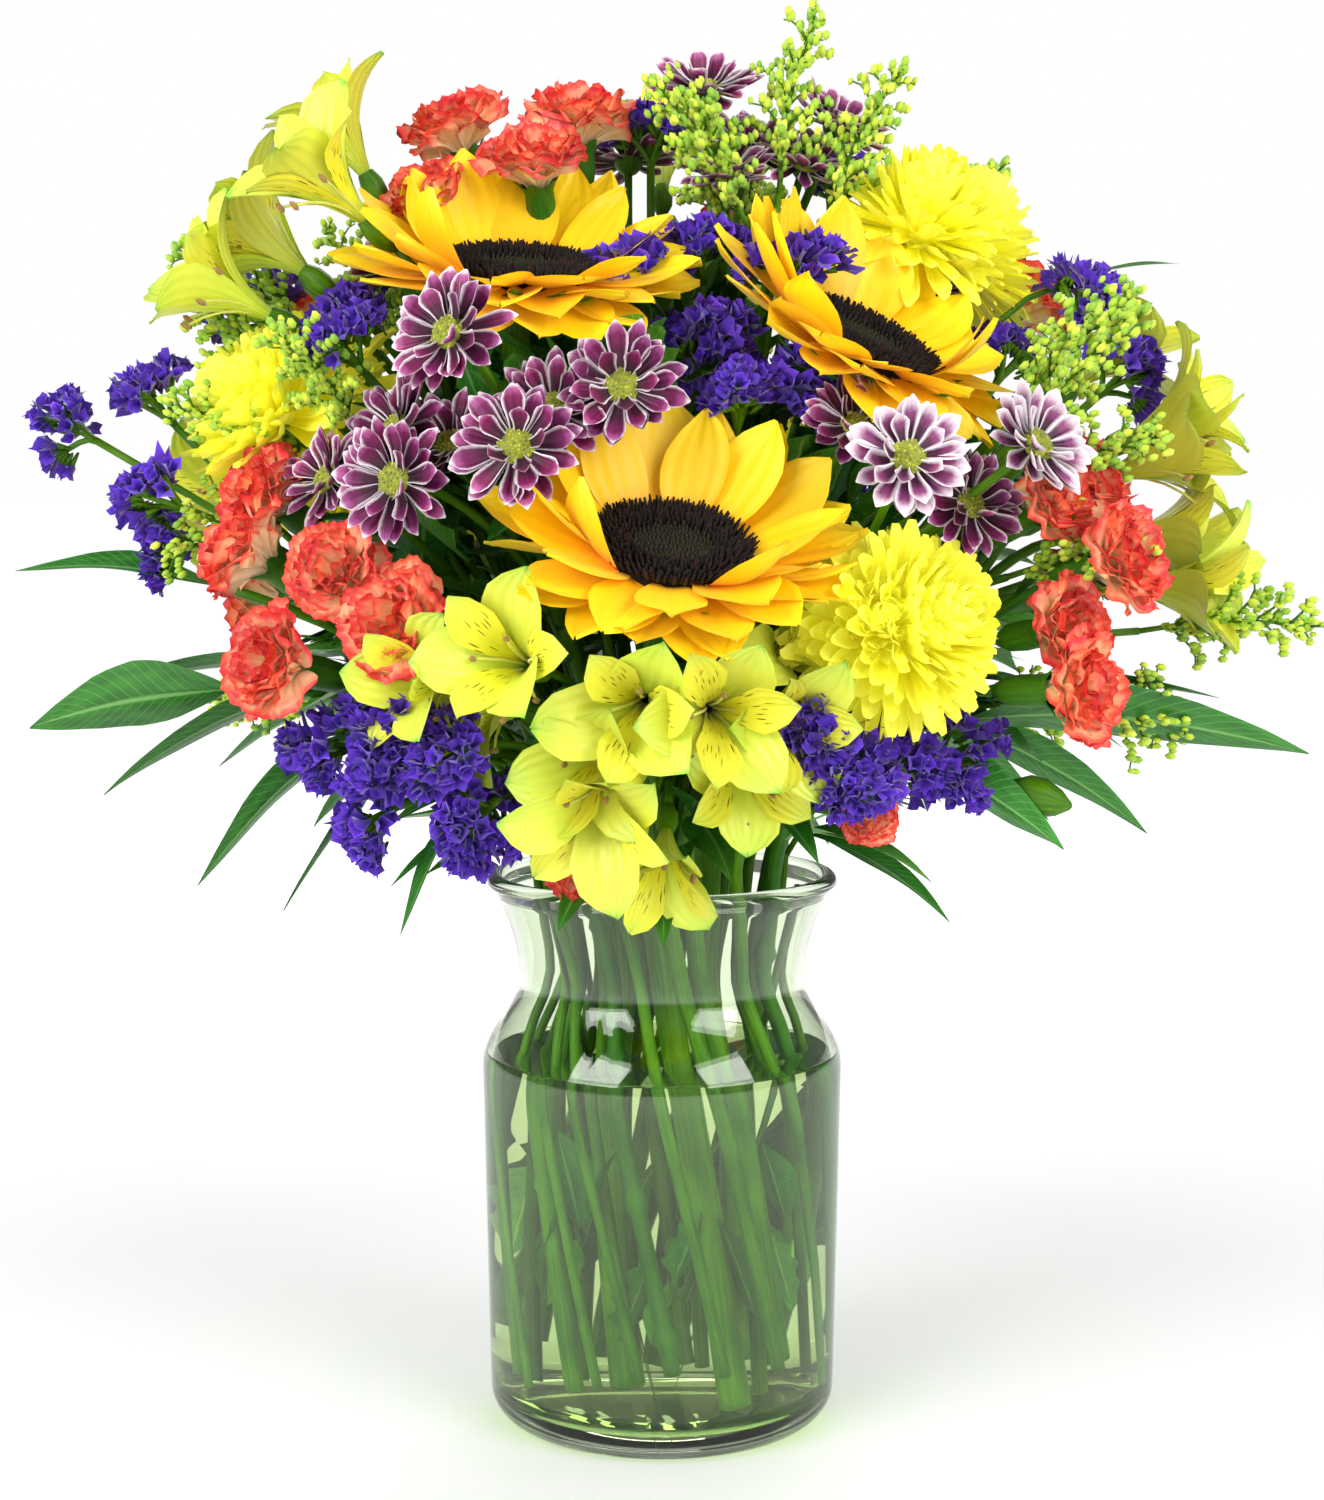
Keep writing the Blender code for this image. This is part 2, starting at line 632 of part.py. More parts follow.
def disc_section():
    """A sunflower's seed head with its green back: a waist holds the ring of petals."""
    r = SUNFLOWER_DISC_RADIUS
    shares = [(0, 22), (0.4, 22.5), (0.75, 24), (0.97, 21.5), (1, 18)]
    shares += [(0.88, 16.5), (0.88, 11), (0.62, 5), (0.26, 0)]
    return [(r * share, z * MM) for share, z in shares] + [(0, 0)]


def petal_section():
    """A sunflower's ring of petals, seated in the waist of the disc."""
    inner = SUNFLOWER_DISC_RADIUS * 0.88 + GAP
    span = SUNFLOWER_RADIUS - inner
    top = [(0, 16), (0.5, 20), (0.94, 25)]
    under = [(1, 24.5), (0.94, 22.5), (0.5, 16.5), (0, 12)]
    return [(inner + span * share, z * MM) for share, z in top + under]


def bundle_points(plant):
    """The stem's points inside the vase, from its cut end up to the rim."""
    low = plant["foot"]
    heights = [low] + [WATER_LEVEL * share for share in (0.45, 0.9)]
    heights += [(WATER_LEVEL + NECK_HEIGHT) / 2, NECK_HEIGHT, (NECK_HEIGHT + VASE_HEIGHT) / 2]
    heights += [VASE_HEIGHT + RIM_CLEAR]
    return [stem_place(plant["spot"], plant["stem"], z) for z in heights]


def water_cutter(plant, collection):
    """The hole that a stem makes in the water, wider than the stem by the gap."""
    points = bundle_points(plant)[:4]
    down = unit(points[0] - points[1])
    points[0] = points[0] + down * GAP
    radius = (plant["stem"] + GAP) / math.cos(math.pi / STEM_SIDES)
    return as_mesh(tube("bore_" + plant["name"], points, [radius] * 4, collection), collection)


def blade(plant, bloom, collection):
    """A leaf blade: a strip along the midrib, thickened."""
    line = blade_line(plant["name"], bloom["way"])
    mesh = bpy.data.meshes.new("blade_" + plant["name"])
    form = bmesh.new()
    bmesh.ops.create_grid(form, x_segments=2, y_segments=len(line) - 1, size=1)
    form.verts.ensure_lookup_table()
    for vert in form.verts:
        step = round((vert.co.y + 1) / 2 * (len(line) - 1))
        point, across, half = line[step]
        lift = np.cross(across, bloom["way"]) * (half * 0.25 * abs(vert.co.x))
        vert.co = Vector(bloom["back"] + point + across * half * vert.co.x + lift)
    form.to_mesh(mesh)
    form.free()
    obj = bpy.data.objects.new("blade_" + plant["name"], mesh)
    collection.objects.link(obj)
    thick = obj.modifiers.new("thickness", "SOLIDIFY")
    thick.thickness = LEAF_THICKNESS
    thick.offset = 0
    return as_mesh(obj, collection)


def head_swell(plant, bloom):
    """Points and radii of a head that swells from its twig's end."""
    kind, back, way = plant["kind"], bloom["back"], bloom["way"]
    if kind == "goldenrod":
        length = PLUME_LENGTHS[plant["name"]] * MM
        return [(back + way * share * length, radius) for share, radius in plume_shape()]
    steps, radius = SWELLS[kind]
    return [(back + way * height * MM, radius * share) for height, share in steps]


def neck_end(points, way):
    """The same points with a straight end along the bloom's way, a gap short of the bloom."""
    back = points[-1]
    return points[:-1] + [back - way * NECK_LENGTH, back - way * GAP]


def build_plant(plant, shown, hidden):
    """All the nodes of one plant: its stem, and its blooms where they are pieces of their own."""
    name, kind, stem = plant["name"], plant["kind"], plant["stem"]
    whole = kind in ("daisy", "lily", "statice", "goldenrod", "leaf")
    stem_name = name if whole else name + "_stem"
    points = bundle_points(plant)
    radii = [stem] * len(points)
    trunk = list(trunk_points(plant, np.linspace(0, 1, 7)))[1:]
    if plant["forked"]:
        way = fork_way(plant)
        trunk += [plant["fork"] + way * stem * 1.2]
        radii += [stem] * (len(trunk) - 2) + [stem * 1.35, stem * 0.6]
    elif kind == "leaf":
        trunk += [plant["blooms"][0]["back"] + plant["blooms"][0]["way"] * 8 * MM]
        radii += [stem] * (len(trunk) - 1) + [stem * 0.6]
    else:
        trunk = neck_end(trunk, plant["blooms"][0]["way"])
        radii += [stem] * len(trunk)
    main = tube(stem_name, points + trunk, radii, shown)
    others = []
    for number, bloom in enumerate(plant["blooms"], 1):
        if plant["forked"]:
            twig = list(branch_points(plant, bloom, np.linspace(0, 1, 6)))
            if whole:
                swell = head_swell(plant, bloom)
                line = twig[:-1] + [p for p, r in swell]
                sizes = [TWIG] * (len(twig) - 1) + [r for p, r in swell]
            else:
                line = neck_end(twig, bloom["way"])
                sizes = [TWIG] * len(line)
            others.append(as_mesh(tube("twig_%s_%d" % (name, number), line, sizes, hidden), hidden))
        elif kind == "leaf":
            others.append(blade(plant, bloom, hidden))
        if kind == "carnation":
            head = turned("%s_bloom_%d" % (name, number), scaled(kind, CARNATION_RADIUS), 10, shown)
            stand(head, bloom["back"], bloom["way"])
            paint(head, COLOURS[kind])
        if kind == "mum":
            head = turned(name + "_bloom", scaled(kind, MUM_RADIUS), 14, shown)
            stand(head, bloom["back"], bloom["way"])
            paint(head, COLOURS[kind])
        if kind == "sunflower":
            disc = turned(name + "_disc", disc_section(), BLOOM_STEPS, shown)
            petals = turned(name + "_petals", petal_section(), BLOOM_STEPS, shown)
            for piece, colour in ((disc, COLOURS["disc"]), (petals, COLOURS[kind])):
                stand(piece, bloom["back"], bloom["way"])
                paint(piece, colour)
    if others:
        main = as_mesh(main, shown)
        join_with(main, others)
    paint(main, COLOURS[kind] if whole else GREEN)


def scaled(kind, radius):
    """A bloom's section at its real radius."""
    return [(r * radius, z * radius) for r, z in SECTIONS[kind]]


def build_vase(plants, shown, hidden):
    """The glass vase, and the water with a hole for every stem."""
    vase = turned("vase", vase_profile(), VASE_STEPS, shown)
    glass = paint(vase, (0.86, 0.9, 0.87), 0.02)
    glass.inputs["Transmission Weight"].default_value = 1
    water = turned("water", water_profile(), VASE_STEPS, shown)
    wet = paint(water, (0.9, 0.93, 0.9), 0.02)
    wet.inputs["Transmission Weight"].default_value = 1
    for plant in plants:
        cutter = water_cutter(plant, hidden)
        cut = water.modifiers.new("cut", "BOOLEAN")
        cut.operation = "DIFFERENCE"
        cut.solver = "EXACT"
        cut.object = cutter
        cutter.hide_render = True
        cutter.display_type = "WIRE"


def main():
    """Build every node of the vase, the water and the plants."""
    for obj in list(bpy.data.objects):
        bpy.data.objects.remove(obj)
    shown = make_collection("flower_vase")
    hidden = make_collection("cutters")
    plants = plan_plants()
    spread_apart(plants)
    build_vase(plants, shown, hidden)
    for plant in plants:
        build_plant(plant, shown, hidden)


main()
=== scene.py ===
import math
import bpy
import numpy as np
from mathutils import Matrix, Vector


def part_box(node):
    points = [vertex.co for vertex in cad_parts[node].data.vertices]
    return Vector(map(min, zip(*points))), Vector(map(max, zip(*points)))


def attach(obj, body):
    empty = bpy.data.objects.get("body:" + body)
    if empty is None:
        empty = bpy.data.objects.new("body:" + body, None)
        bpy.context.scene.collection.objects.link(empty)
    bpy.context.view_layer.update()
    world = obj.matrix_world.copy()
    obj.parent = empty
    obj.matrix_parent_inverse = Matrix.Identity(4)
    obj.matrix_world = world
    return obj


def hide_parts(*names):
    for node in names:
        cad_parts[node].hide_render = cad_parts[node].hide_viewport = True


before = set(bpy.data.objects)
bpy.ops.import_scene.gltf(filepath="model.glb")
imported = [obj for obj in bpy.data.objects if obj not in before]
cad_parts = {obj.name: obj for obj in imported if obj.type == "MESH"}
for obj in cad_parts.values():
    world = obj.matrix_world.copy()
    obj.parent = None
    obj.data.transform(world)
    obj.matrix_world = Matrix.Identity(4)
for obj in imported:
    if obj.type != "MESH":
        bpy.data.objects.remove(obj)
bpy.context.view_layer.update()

MM = 0.001
ROOT = "root"
UP = np.array([0.0, 0.0, 1.0])
FRONT = np.array([0.0, -1.0, 0.0])
GOLDEN = math.pi * (3 - math.sqrt(5))  # the angle between one leaf or floret and the next
bpy.ops.object.select_all(action="DESELECT")


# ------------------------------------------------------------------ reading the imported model

def unit(v):
    """A vector's direction, with length 1."""
    return v / max(np.linalg.norm(v), 1e-12)


def node_mesh(node):
    """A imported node's distinct points and its triangles as numbers of those points."""
    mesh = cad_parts[node].data
    places = np.empty(len(mesh.vertices) * 3)
    mesh.vertices.foreach_get("co", places)
    places = places.reshape(-1, 3)
    mesh.calc_loop_triangles()
    corners = np.empty(len(mesh.loop_triangles) * 3, int)
    mesh.loop_triangles.foreach_get("vertices", corners)
    grid = np.round(places / (0.002 * MM)).astype(np.int64)
    _, first, number = np.unique(grid, axis=0, return_index=True, return_inverse=True)
    return places[first], number.ravel()[corners].reshape(-1, 3)


def flat_tips(node, radius):
    """Centres and directions of the flat six-sided tips of one radius, where a twig's head ends."""
    points, triangles = node_mesh(node)
    a, b, c = points[triangles[:, 0]], points[triangles[:, 1]], points[triangles[:, 2]]
    cross = np.cross(b - a, c - a)
    area = np.linalg.norm(cross, axis=1) / 2
    way = cross / (2 * area[:, None] + 1e-18)
    wanted = 1.5 * math.sqrt(3) * radius**2
    found, used = [], set()
    for k in np.argsort(-area):
        if k in used or area[k] < wanted * 0.12 or area[k] > wanted * 1.02:
            continue
        level = (way[k] * a[k]).sum()
        offset = np.abs((points[triangles] @ way[k]) - level).max(axis=1)
        same = np.nonzero((way @ way[k] > 0.9995) & (offset < 0.05 * MM))[0]
        near = np.linalg.norm(points[triangles[same]].mean(axis=1) - a[k], axis=1) < radius * 2.2
        group = same[near]
        if abs(area[group].sum() / wanted - 1) < 0.05:
            used.update(group.tolist())
            ring = points[np.unique(triangles[group])]
            middle = ring.mean(axis=0)
            spread = np.linalg.norm(ring - middle, axis=1)
            if len(ring) == 6 and np.ptp(spread) < 0.06 * radius and abs(spread.mean() / radius - 1) < 0.04:
                found.append((middle, way[k]))
    return found


def slice_middle(points, triangles, height):
    """The middle of a node's cut at a height."""
    corner_heights = points[triangles][:, :, 2]
    hits = []
    for i, j in ((0, 1), (1, 2), (2, 0)):
        a, b = corner_heights[:, i], corner_heights[:, j]
        crossing = np.nonzero((a - height) * (b - height) < 0)[0]
        share = ((height - a[crossing]) / (b[crossing] - a[crossing]))[:, None]
        start, end = points[triangles[crossing, i]], points[triangles[crossing, j]]
        hits.append(start + (end - start) * share)
    hits = np.concatenate(hits)
    return (hits.min(axis=0) + hits.max(axis=0)) / 2


_, VASE_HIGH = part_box("vase")
RIM_POINT = VASE_HIGH.z + 3.2 * MM  # the stems leave the bundle just above the rim


def bundle_line(node):
    """The stem's middle line inside the vase, from its cut end to just above the rim."""
    points, triangles = node_mesh(node)
    foot = points[:, 2].min()
    heights = np.linspace(foot + 2.0 * MM, RIM_POINT, 10)
    line = [slice_middle(points, triangles, z) for z in heights]
    line[0] = line[0] + (line[0] - line[1]) * (1.9 * MM / np.linalg.norm(line[0] - line[1]))
    return np.array(line)


# ------------------------------------------------------------------ building meshes

BEND_STEPS = 32  # steps in which a petal's bend is added up
NO_TRIANGLES = np.zeros((0, 3), int)


class Form:
    """A small shape to repeat: points, quads, triangles and a UV for each point."""

    def __init__(self, points, quads, triangles, uv):
        self.points, self.quads, self.triangles, self.uv = points, quads, triangles, uv


def read_form(obj):
    """Turn the object that an operator just made into a Form, and remove the object."""
    mesh = obj.data
    points = np.array([v.co[:] for v in mesh.vertices])
    quads = np.array([p.vertices[:] for p in mesh.polygons if len(p.vertices) == 4], int).reshape(-1, 4)
    triangles = np.array([p.vertices[:] for p in mesh.polygons if len(p.vertices) == 3], int).reshape(-1, 3)
    bpy.data.objects.remove(obj)
    bpy.data.meshes.remove(mesh)
    return Form(points, quads, triangles, np.zeros((len(points), 2)))


def sheet_form(columns, rows):
    """A flat sheet with u across from -1 to 1 and v along from 0 to 1."""
    bpy.ops.mesh.primitive_grid_add(x_subdivisions=columns - 1, y_subdivisions=rows - 1, size=2)
    form = read_form(bpy.context.active_object)
    form.u = form.points[:, 0].copy()
    form.v = (form.points[:, 1] + 1) / 2
    form.uv = np.column_stack([(form.u + 1) / 2, form.v])
    return form


def bud_form():
    """A round bud of radius 1."""
    bpy.ops.mesh.primitive_ico_sphere_add(subdivisions=1, radius=1)
    form = read_form(bpy.context.active_object)
    form.uv = np.column_stack([np.zeros(len(form.points)), (form.points[:, 2] + 1) / 2])
    return form


def cone_form(sides, tip):
    """A floret of radius 1 and height 1 that narrows to a tip."""
    bpy.ops.mesh.primitive_cone_add(
        vertices=sides, radius1=1, radius2=tip, depth=1, end_fill_type="TRIFAN", location=(0, 0, 0.5)
    )
    obj = bpy.context.active_object
    for vert in obj.data.vertices:
        vert.co.z += 0.5
    form = read_form(obj)
    form.uv = np.column_stack([np.zeros(len(form.points)), form.points[:, 2]])
    return form


class Bunch:
    """Collects many copies of forms, then makes one piece of them."""

    def __init__(self):
        self.points, self.uv, self.tint = [], [], []
        self.quads, self.triangles = [], []
        self.quad_slots, self.triangle_slots = [], []
        self.count = 0

    def add(self, form, points, tint, slot):
        """Add one copy of a form at its own points, with its tint and its material's number."""
        size = len(points)
        self.points.append(points)
        self.uv.append(form.uv)
        self.tint.append(np.broadcast_to(tint, (size,)).astype(float))
        self.quads.append(form.quads + self.count)
        self.triangles.append(form.triangles + self.count)
        self.quad_slots.append(np.full(len(form.quads), slot))
        self.triangle_slots.append(np.full(len(form.triangles), slot))
        self.count += size

    def piece(self, name, materials, replaces=()):
        """Make the piece: one mesh with its UV map, its tint attribute and its materials."""
        points = np.concatenate(self.points)
        quads, triangles = np.concatenate(self.quads), np.concatenate(self.triangles)
        loops = np.concatenate([quads.ravel(), triangles.ravel()]).astype(np.int32)
        sizes = np.concatenate([np.full(len(quads), 4), np.full(len(triangles), 3)])
        starts = np.concatenate([[0], np.cumsum(sizes)[:-1]]).astype(np.int32)
        mesh = bpy.data.meshes.new(name)
        mesh.vertices.add(len(points))
        mesh.loops.add(len(loops))
        mesh.polygons.add(len(sizes))
        mesh.vertices.foreach_set("co", points.ravel().astype(np.float32))
        mesh.loops.foreach_set("vertex_index", loops)
        mesh.polygons.foreach_set("loop_start", starts)
        mesh.update(calc_edges=True)
        mesh.validate()
        slots = np.concatenate([np.concatenate(self.quad_slots), np.concatenate(self.triangle_slots)])
        mesh.polygons.foreach_set("material_index", slots.astype(np.int32))
        mesh.polygons.foreach_set("use_smooth", np.ones(len(sizes), bool))
        layer = mesh.uv_layers.new(name="UVMap")
        layer.uv.foreach_set("vector", np.concatenate(self.uv)[loops].ravel().astype(np.float32))
        tint = mesh.attributes.new("tint", "FLOAT", "POINT")
        tint.data.foreach_set("value", np.concatenate(self.tint).astype(np.float32))
        obj = bpy.data.objects.new(name, mesh)
        bpy.context.scene.collection.objects.link(obj)
        for material in materials:
            mesh.materials.append(material)
        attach(obj, ROOT)
        if replaces:
            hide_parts(*replaces)


def head_frame(way, roll=0.0):
    """A 3x3 frame whose third column is the way a bloom faces and whose second leans down."""
    down = -UP - way * (-UP @ way)
    if np.linalg.norm(down) < 0.05:
        down = FRONT - way * (FRONT @ way)
    y = unit(down)
    x = np.cross(y, way)
    c, s = math.cos(roll), math.sin(roll)
    return np.column_stack([x * c + y * s, y * c - x * s, way])


def petal(form, length, width, edge, rise, cup, azimuth, root, twist=0.0, ruffle=None, bow=0.0):
    """A petal's points: a sheet bent along its length from rise[0] to rise[1] degrees above level.

    edge gives the half width at v as a share of width / 2; cup lifts its sides; root is the petal's foot
    as (reach, height); bow rounds the far end by drawing its corners back.
    """
    u, v = form.u, form.v
    far = v * (1 - bow * u**2 * v)
    steps = np.linspace(0, 1, BEND_STEPS + 1)
    angle = np.radians(rise[0] + (rise[1] - rise[0]) * steps ** 1.2)
    step = length / BEND_STEPS
    along = np.concatenate([[0], np.cumsum(np.cos(angle[:-1]) * step)])
    high = np.concatenate([[0], np.cumsum(np.sin(angle[:-1]) * step)])
    tilt = np.interp(far, steps, angle)
    half = width / 2 * edge(v)
    side = u * half
    lift = cup * np.abs(u) ** 2 * half
    if ruffle is not None:
        lift = lift + ruffle(u, v)
    out = np.interp(far, steps, along) - np.sin(tilt) * lift
    height = np.interp(far, steps, high) + np.cos(tilt) * lift
    if twist:
        turn = twist * v
        side, raised = side * np.cos(turn), side * np.sin(turn)
        height = height + raised
    out = out + root[0]
    c, s = math.cos(azimuth), math.sin(azimuth)
    return np.column_stack([out * c - side * s, out * s + side * c, height + root[1]])


def put(points, frame3, back):
    """A bloom's own points moved to its place on the stem."""
    return points @ frame3.T + back


def ring_quads(rings, sides):
    """The quads that join each ring of points to the next one."""
    around = np.arange(sides)
    after = (around + 1) % sides
    return np.concatenate([
        np.column_stack([k * sides + around, k * sides + after, (k + 1) * sides + after, (k + 1) * sides + around])
        for k in range(rings - 1)
    ])


def tube_form(line, radii, sides):
    """A tube along a line, closed at both ends; u runs round and v along."""
    line = np.asarray(line)
    count = len(line)
    ways = np.gradient(line, axis=0)
    ways /= np.linalg.norm(ways, axis=1)[:, None] + 1e-12
    side = unit(np.cross(ways[0], [0.31, 0.17, 0.93]))
    points, uv = [], []
    turns = np.arange(sides) * 2 * math.pi / sides
    lengths = np.concatenate([[0], np.cumsum(np.linalg.norm(np.diff(line, axis=0), axis=1))])
    for k in range(count):
        side = unit(side - ways[k] * (side @ ways[k]))
        other = np.cross(ways[k], side)
        ring = line[k] + radii[k] * (np.outer(np.cos(turns), side) + np.outer(np.sin(turns), other))
        points.append(ring)
        uv.append(np.column_stack([turns / (2 * math.pi), np.full(sides, lengths[k] / 0.1)]))
    points = np.concatenate(points + [line[:1], line[-1:]])
    uv = np.concatenate(uv + [[[0.5, 0]], [[0.5, lengths[-1] / 0.1]]])
    around = np.arange(sides)
    after = (around + 1) % sides
    foot, top = count * sides, count * sides + 1
    last = (count - 1) * sides
    triangles = np.concatenate([
        np.column_stack([after, around, np.full(sides, foot)]),
        np.column_stack([last + around, last + after, np.full(sides, top)]),
    ])
    return Form(points, ring_quads(count, sides), triangles, uv)


def turned_form(profile, sides):
    """A turned shape round +Z from (radius, height) pairs that run from its lower end to its top."""
    turns = np.arange(sides) * 2 * math.pi / sides
    points, uv = [], []
    for k, (r, z) in enumerate(profile):
        r = max(r, 1e-6)
        points.append(np.column_stack([r * np.cos(turns), r * np.sin(turns), np.full(sides, z)]))
        uv.append(np.column_stack([turns / (2 * math.pi), np.full(sides, k / (len(profile) - 1))]))
    return Form(np.concatenate(points), ring_quads(len(profile), sides), NO_TRIANGLES, np.concatenate(uv))


def bend(start, start_way, end, end_way, shares, pull=0.36):
    """A smooth curve between two points with their directions."""
    reach = np.linalg.norm(end - start) * pull
    a, b = start + start_way * reach, end - end_way * reach
    t = np.asarray(shares)[:, None]
    return (1 - t) ** 3 * start + 3 * t * (1 - t) ** 2 * a + 3 * t * t * (1 - t) * b + t**3 * end


def onward(line):
    """The direction in which a line ends."""
    return unit(line[-1] - line[-2])


def smooth_line(line, count):
    """The same line resampled smoothly by Catmull-Rom pieces."""
    line = np.asarray(line)
    ends = np.vstack([2 * line[0] - line[1], line, 2 * line[-1] - line[-2]])
    result = []
    for x in np.linspace(0, len(line) - 1 - 1e-9, count):
        k, t = int(x), x - int(x)
        p0, p1, p2, p3 = ends[k : k + 4]
        square, cube = 2 * p0 - 5 * p1 + 4 * p2 - p3, 3 * p1 - p0 - 3 * p2 + p3
        result.append(0.5 * (2 * p1 + (p2 - p0) * t + square * t * t + cube * t**3))
    return np.array(result)


# ------------------------------------------------------------------ materials

def paint(hex_colour):
    """An sRGB hex colour as linear RGBA."""
    channels = [int(hex_colour[k : k + 2], 16) / 255 for k in (1, 3, 5)]
    return tuple(c / 12.92 if c <= 0.04045 else ((c + 0.055) / 1.055) ** 2.4 for c in channels) + (1.0,)


def node(tree, kind, settings=None, **links):
    """Add a node: settings set its properties and unlinked inputs, links join its inputs."""
    made = tree.nodes.new(kind)
    for key, value in (settings or {}).items():
        if isinstance(key, int) or key in made.inputs:
            made.inputs[key].default_value = value
        else:
            setattr(made, key, value)
    for key, source in links.items():
        numbered = key[0] == "i" and key[1:].isdigit()
        tree.links.new(source, made.inputs[int(key[1:]) if numbered else key.replace("_", " ")])
    return made


def new_material(name, roughness, **sockets):
    """A material, its node tree and its shader, with the sockets that are given."""
    material = bpy.data.materials.new(name)
    material.use_nodes = True
    tree = material.node_tree
    shader = tree.nodes["Principled BSDF"]
    shader.inputs["Roughness"].default_value = roughness
    for key, value in sockets.items():
        shader.inputs[key.replace("_", " ")].default_value = value
    return material, tree, shader


def ramp(tree, factor, stops):
    """A smooth colour ramp from (place, hex colour) stops."""
    made = node(tree, "ShaderNodeValToRGB", {}, Fac=factor)
    made.color_ramp.interpolation = "EASE"
    elements = made.color_ramp.elements
    while len(elements) < len(stops):
        elements.new(0.5)
    for element, (place, colour) in zip(elements, stops):
        element.position = place
        element.color = paint(colour)
    return made.outputs["Color"]


WHITE = (1, 1, 1, 1)
FINE_RELIEF = 0.6 * MM  # height of ribs, fibres and veins, a little coarser than real so that they show


def own_place(tree):
    """A piece's UV, then u across, v along and the distance from the middle line."""
    uv = node(tree, "ShaderNodeUVMap", {"uv_map": "UVMap"}).outputs["UV"]
    split = node(tree, "ShaderNodeSeparateXYZ", {}, Vector=uv)
    u, v = split.outputs["X"], split.outputs["Y"]
    across = node(tree, "ShaderNodeMath", {"operation": "SUBTRACT", 1: 0.5}, i0=u)
    off_middle = node(tree, "ShaderNodeMath", {"operation": "ABSOLUTE"}, i0=across.outputs[0]).outputs[0]
    return uv, u, v, off_middle


def laid_over(tree, share, below, above):
    """A hex colour laid over another colour by a share."""
    mixed = node(tree, "ShaderNodeMix", {"data_type": "RGBA"}, Factor=share)
    tree.links.new(below, mixed.inputs[6])
    mixed.inputs[7].default_value = paint(above)
    return mixed.outputs[2]


def shaded(tree, shader, colour, darkest, lightest, turn=0.0):
    """Make each copy a little darker, lighter or warmer by its tint, and give that to the shader."""
    tint = node(tree, "ShaderNodeAttribute", {"attribute_name": "tint"}).outputs["Fac"]
    shade = node(tree, "ShaderNodeMapRange", {1: 0.0, 2: 1.0, 3: darkest, 4: lightest}, i0=tint).outputs[0]
    final = node(tree, "ShaderNodeHueSaturation", {}, Color=colour, Value=shade)
    if turn:
        hue = node(tree, "ShaderNodeMapRange", {1: 0.0, 2: 1.0, 3: 0.5 - turn, 4: 0.5 + turn * 0.7}, i0=tint)
        tree.links.new(hue.outputs[0], final.inputs["Hue"])
    tree.links.new(final.outputs["Color"], shader.inputs["Base Color"])
    return final.outputs["Color"]


def raise_relief(tree, shader, height, strength):
    """Fine relief from a pattern."""
    bump = node(tree, "ShaderNodeBump", {"Strength": strength, "Distance": FINE_RELIEF}, Height=height)
    tree.links.new(bump.outputs["Normal"], shader.inputs["Normal"])


def petal_material(name, stops, edge=None, ribs=14, rib_depth=0.25, roughness=0.5, vary=0.12, glow=0.0):
    """A living petal: colour along its length, its own edge colour, lengthwise ribs, each a little different, and,
    where glow is given, a painted glow in its own colour.
    """
    material, tree, shader = new_material(name, roughness, Sheen_Weight=0.05, Sheen_Roughness=0.4)
    uv, u, v, off_middle = own_place(tree)
    mottle = node(tree, "ShaderNodeTexNoise", {"Scale": 9.0, "Detail": 3.0}, Vector=uv).outputs["Fac"]
    wander = node(tree, "ShaderNodeMath", {"operation": "MULTIPLY_ADD", 1: 0.16, 2: -0.08}, i0=mottle)
    along = node(tree, "ShaderNodeMath", {"operation": "ADD"}, i0=v, i1=wander.outputs[0])
    colour = ramp(tree, along.outputs[0], stops)
    if edge is not None:
        edge_colour, start, end = edge
        reach = node(tree, "ShaderNodeMath", {"operation": "MULTIPLY", 1: 2.0}, i0=off_middle)
        high = node(tree, "ShaderNodeMath", {"operation": "POWER", 1: 4.0}, i0=v)
        both = node(tree, "ShaderNodeMath", {"operation": "MAXIMUM"}, i0=reach.outputs[0], i1=high.outputs[0])
        rough = node(tree, "ShaderNodeMath", {"operation": "ADD"}, i0=both.outputs[0], i1=wander.outputs[0])
        share = node(tree, "ShaderNodeMapRange", {1: start, 2: end}, i0=rough.outputs[0]).outputs[0]
        colour = laid_over(tree, share, colour, edge_colour)
    colour = shaded(tree, shader, colour, 1 - vary * 1.6, 1 + vary, vary * 0.1)
    if glow:  # painted glow: the petal emits its own colour, standing in for light that comes through it from behind
        tree.links.new(colour, shader.inputs["Emission Color"])
        shader.inputs["Emission Strength"].default_value = glow
    wave = node(tree, "ShaderNodeMath", {"operation": "MULTIPLY", 1: ribs * math.pi * 2}, i0=u)
    rib = node(tree, "ShaderNodeMath", {"operation": "SINE"}, i0=wave.outputs[0])
    height = node(tree, "ShaderNodeMath", {"operation": "ADD"}, i0=rib.outputs[0], i1=mottle)
    raise_relief(tree, shader, height.outputs[0], rib_depth)
    return material


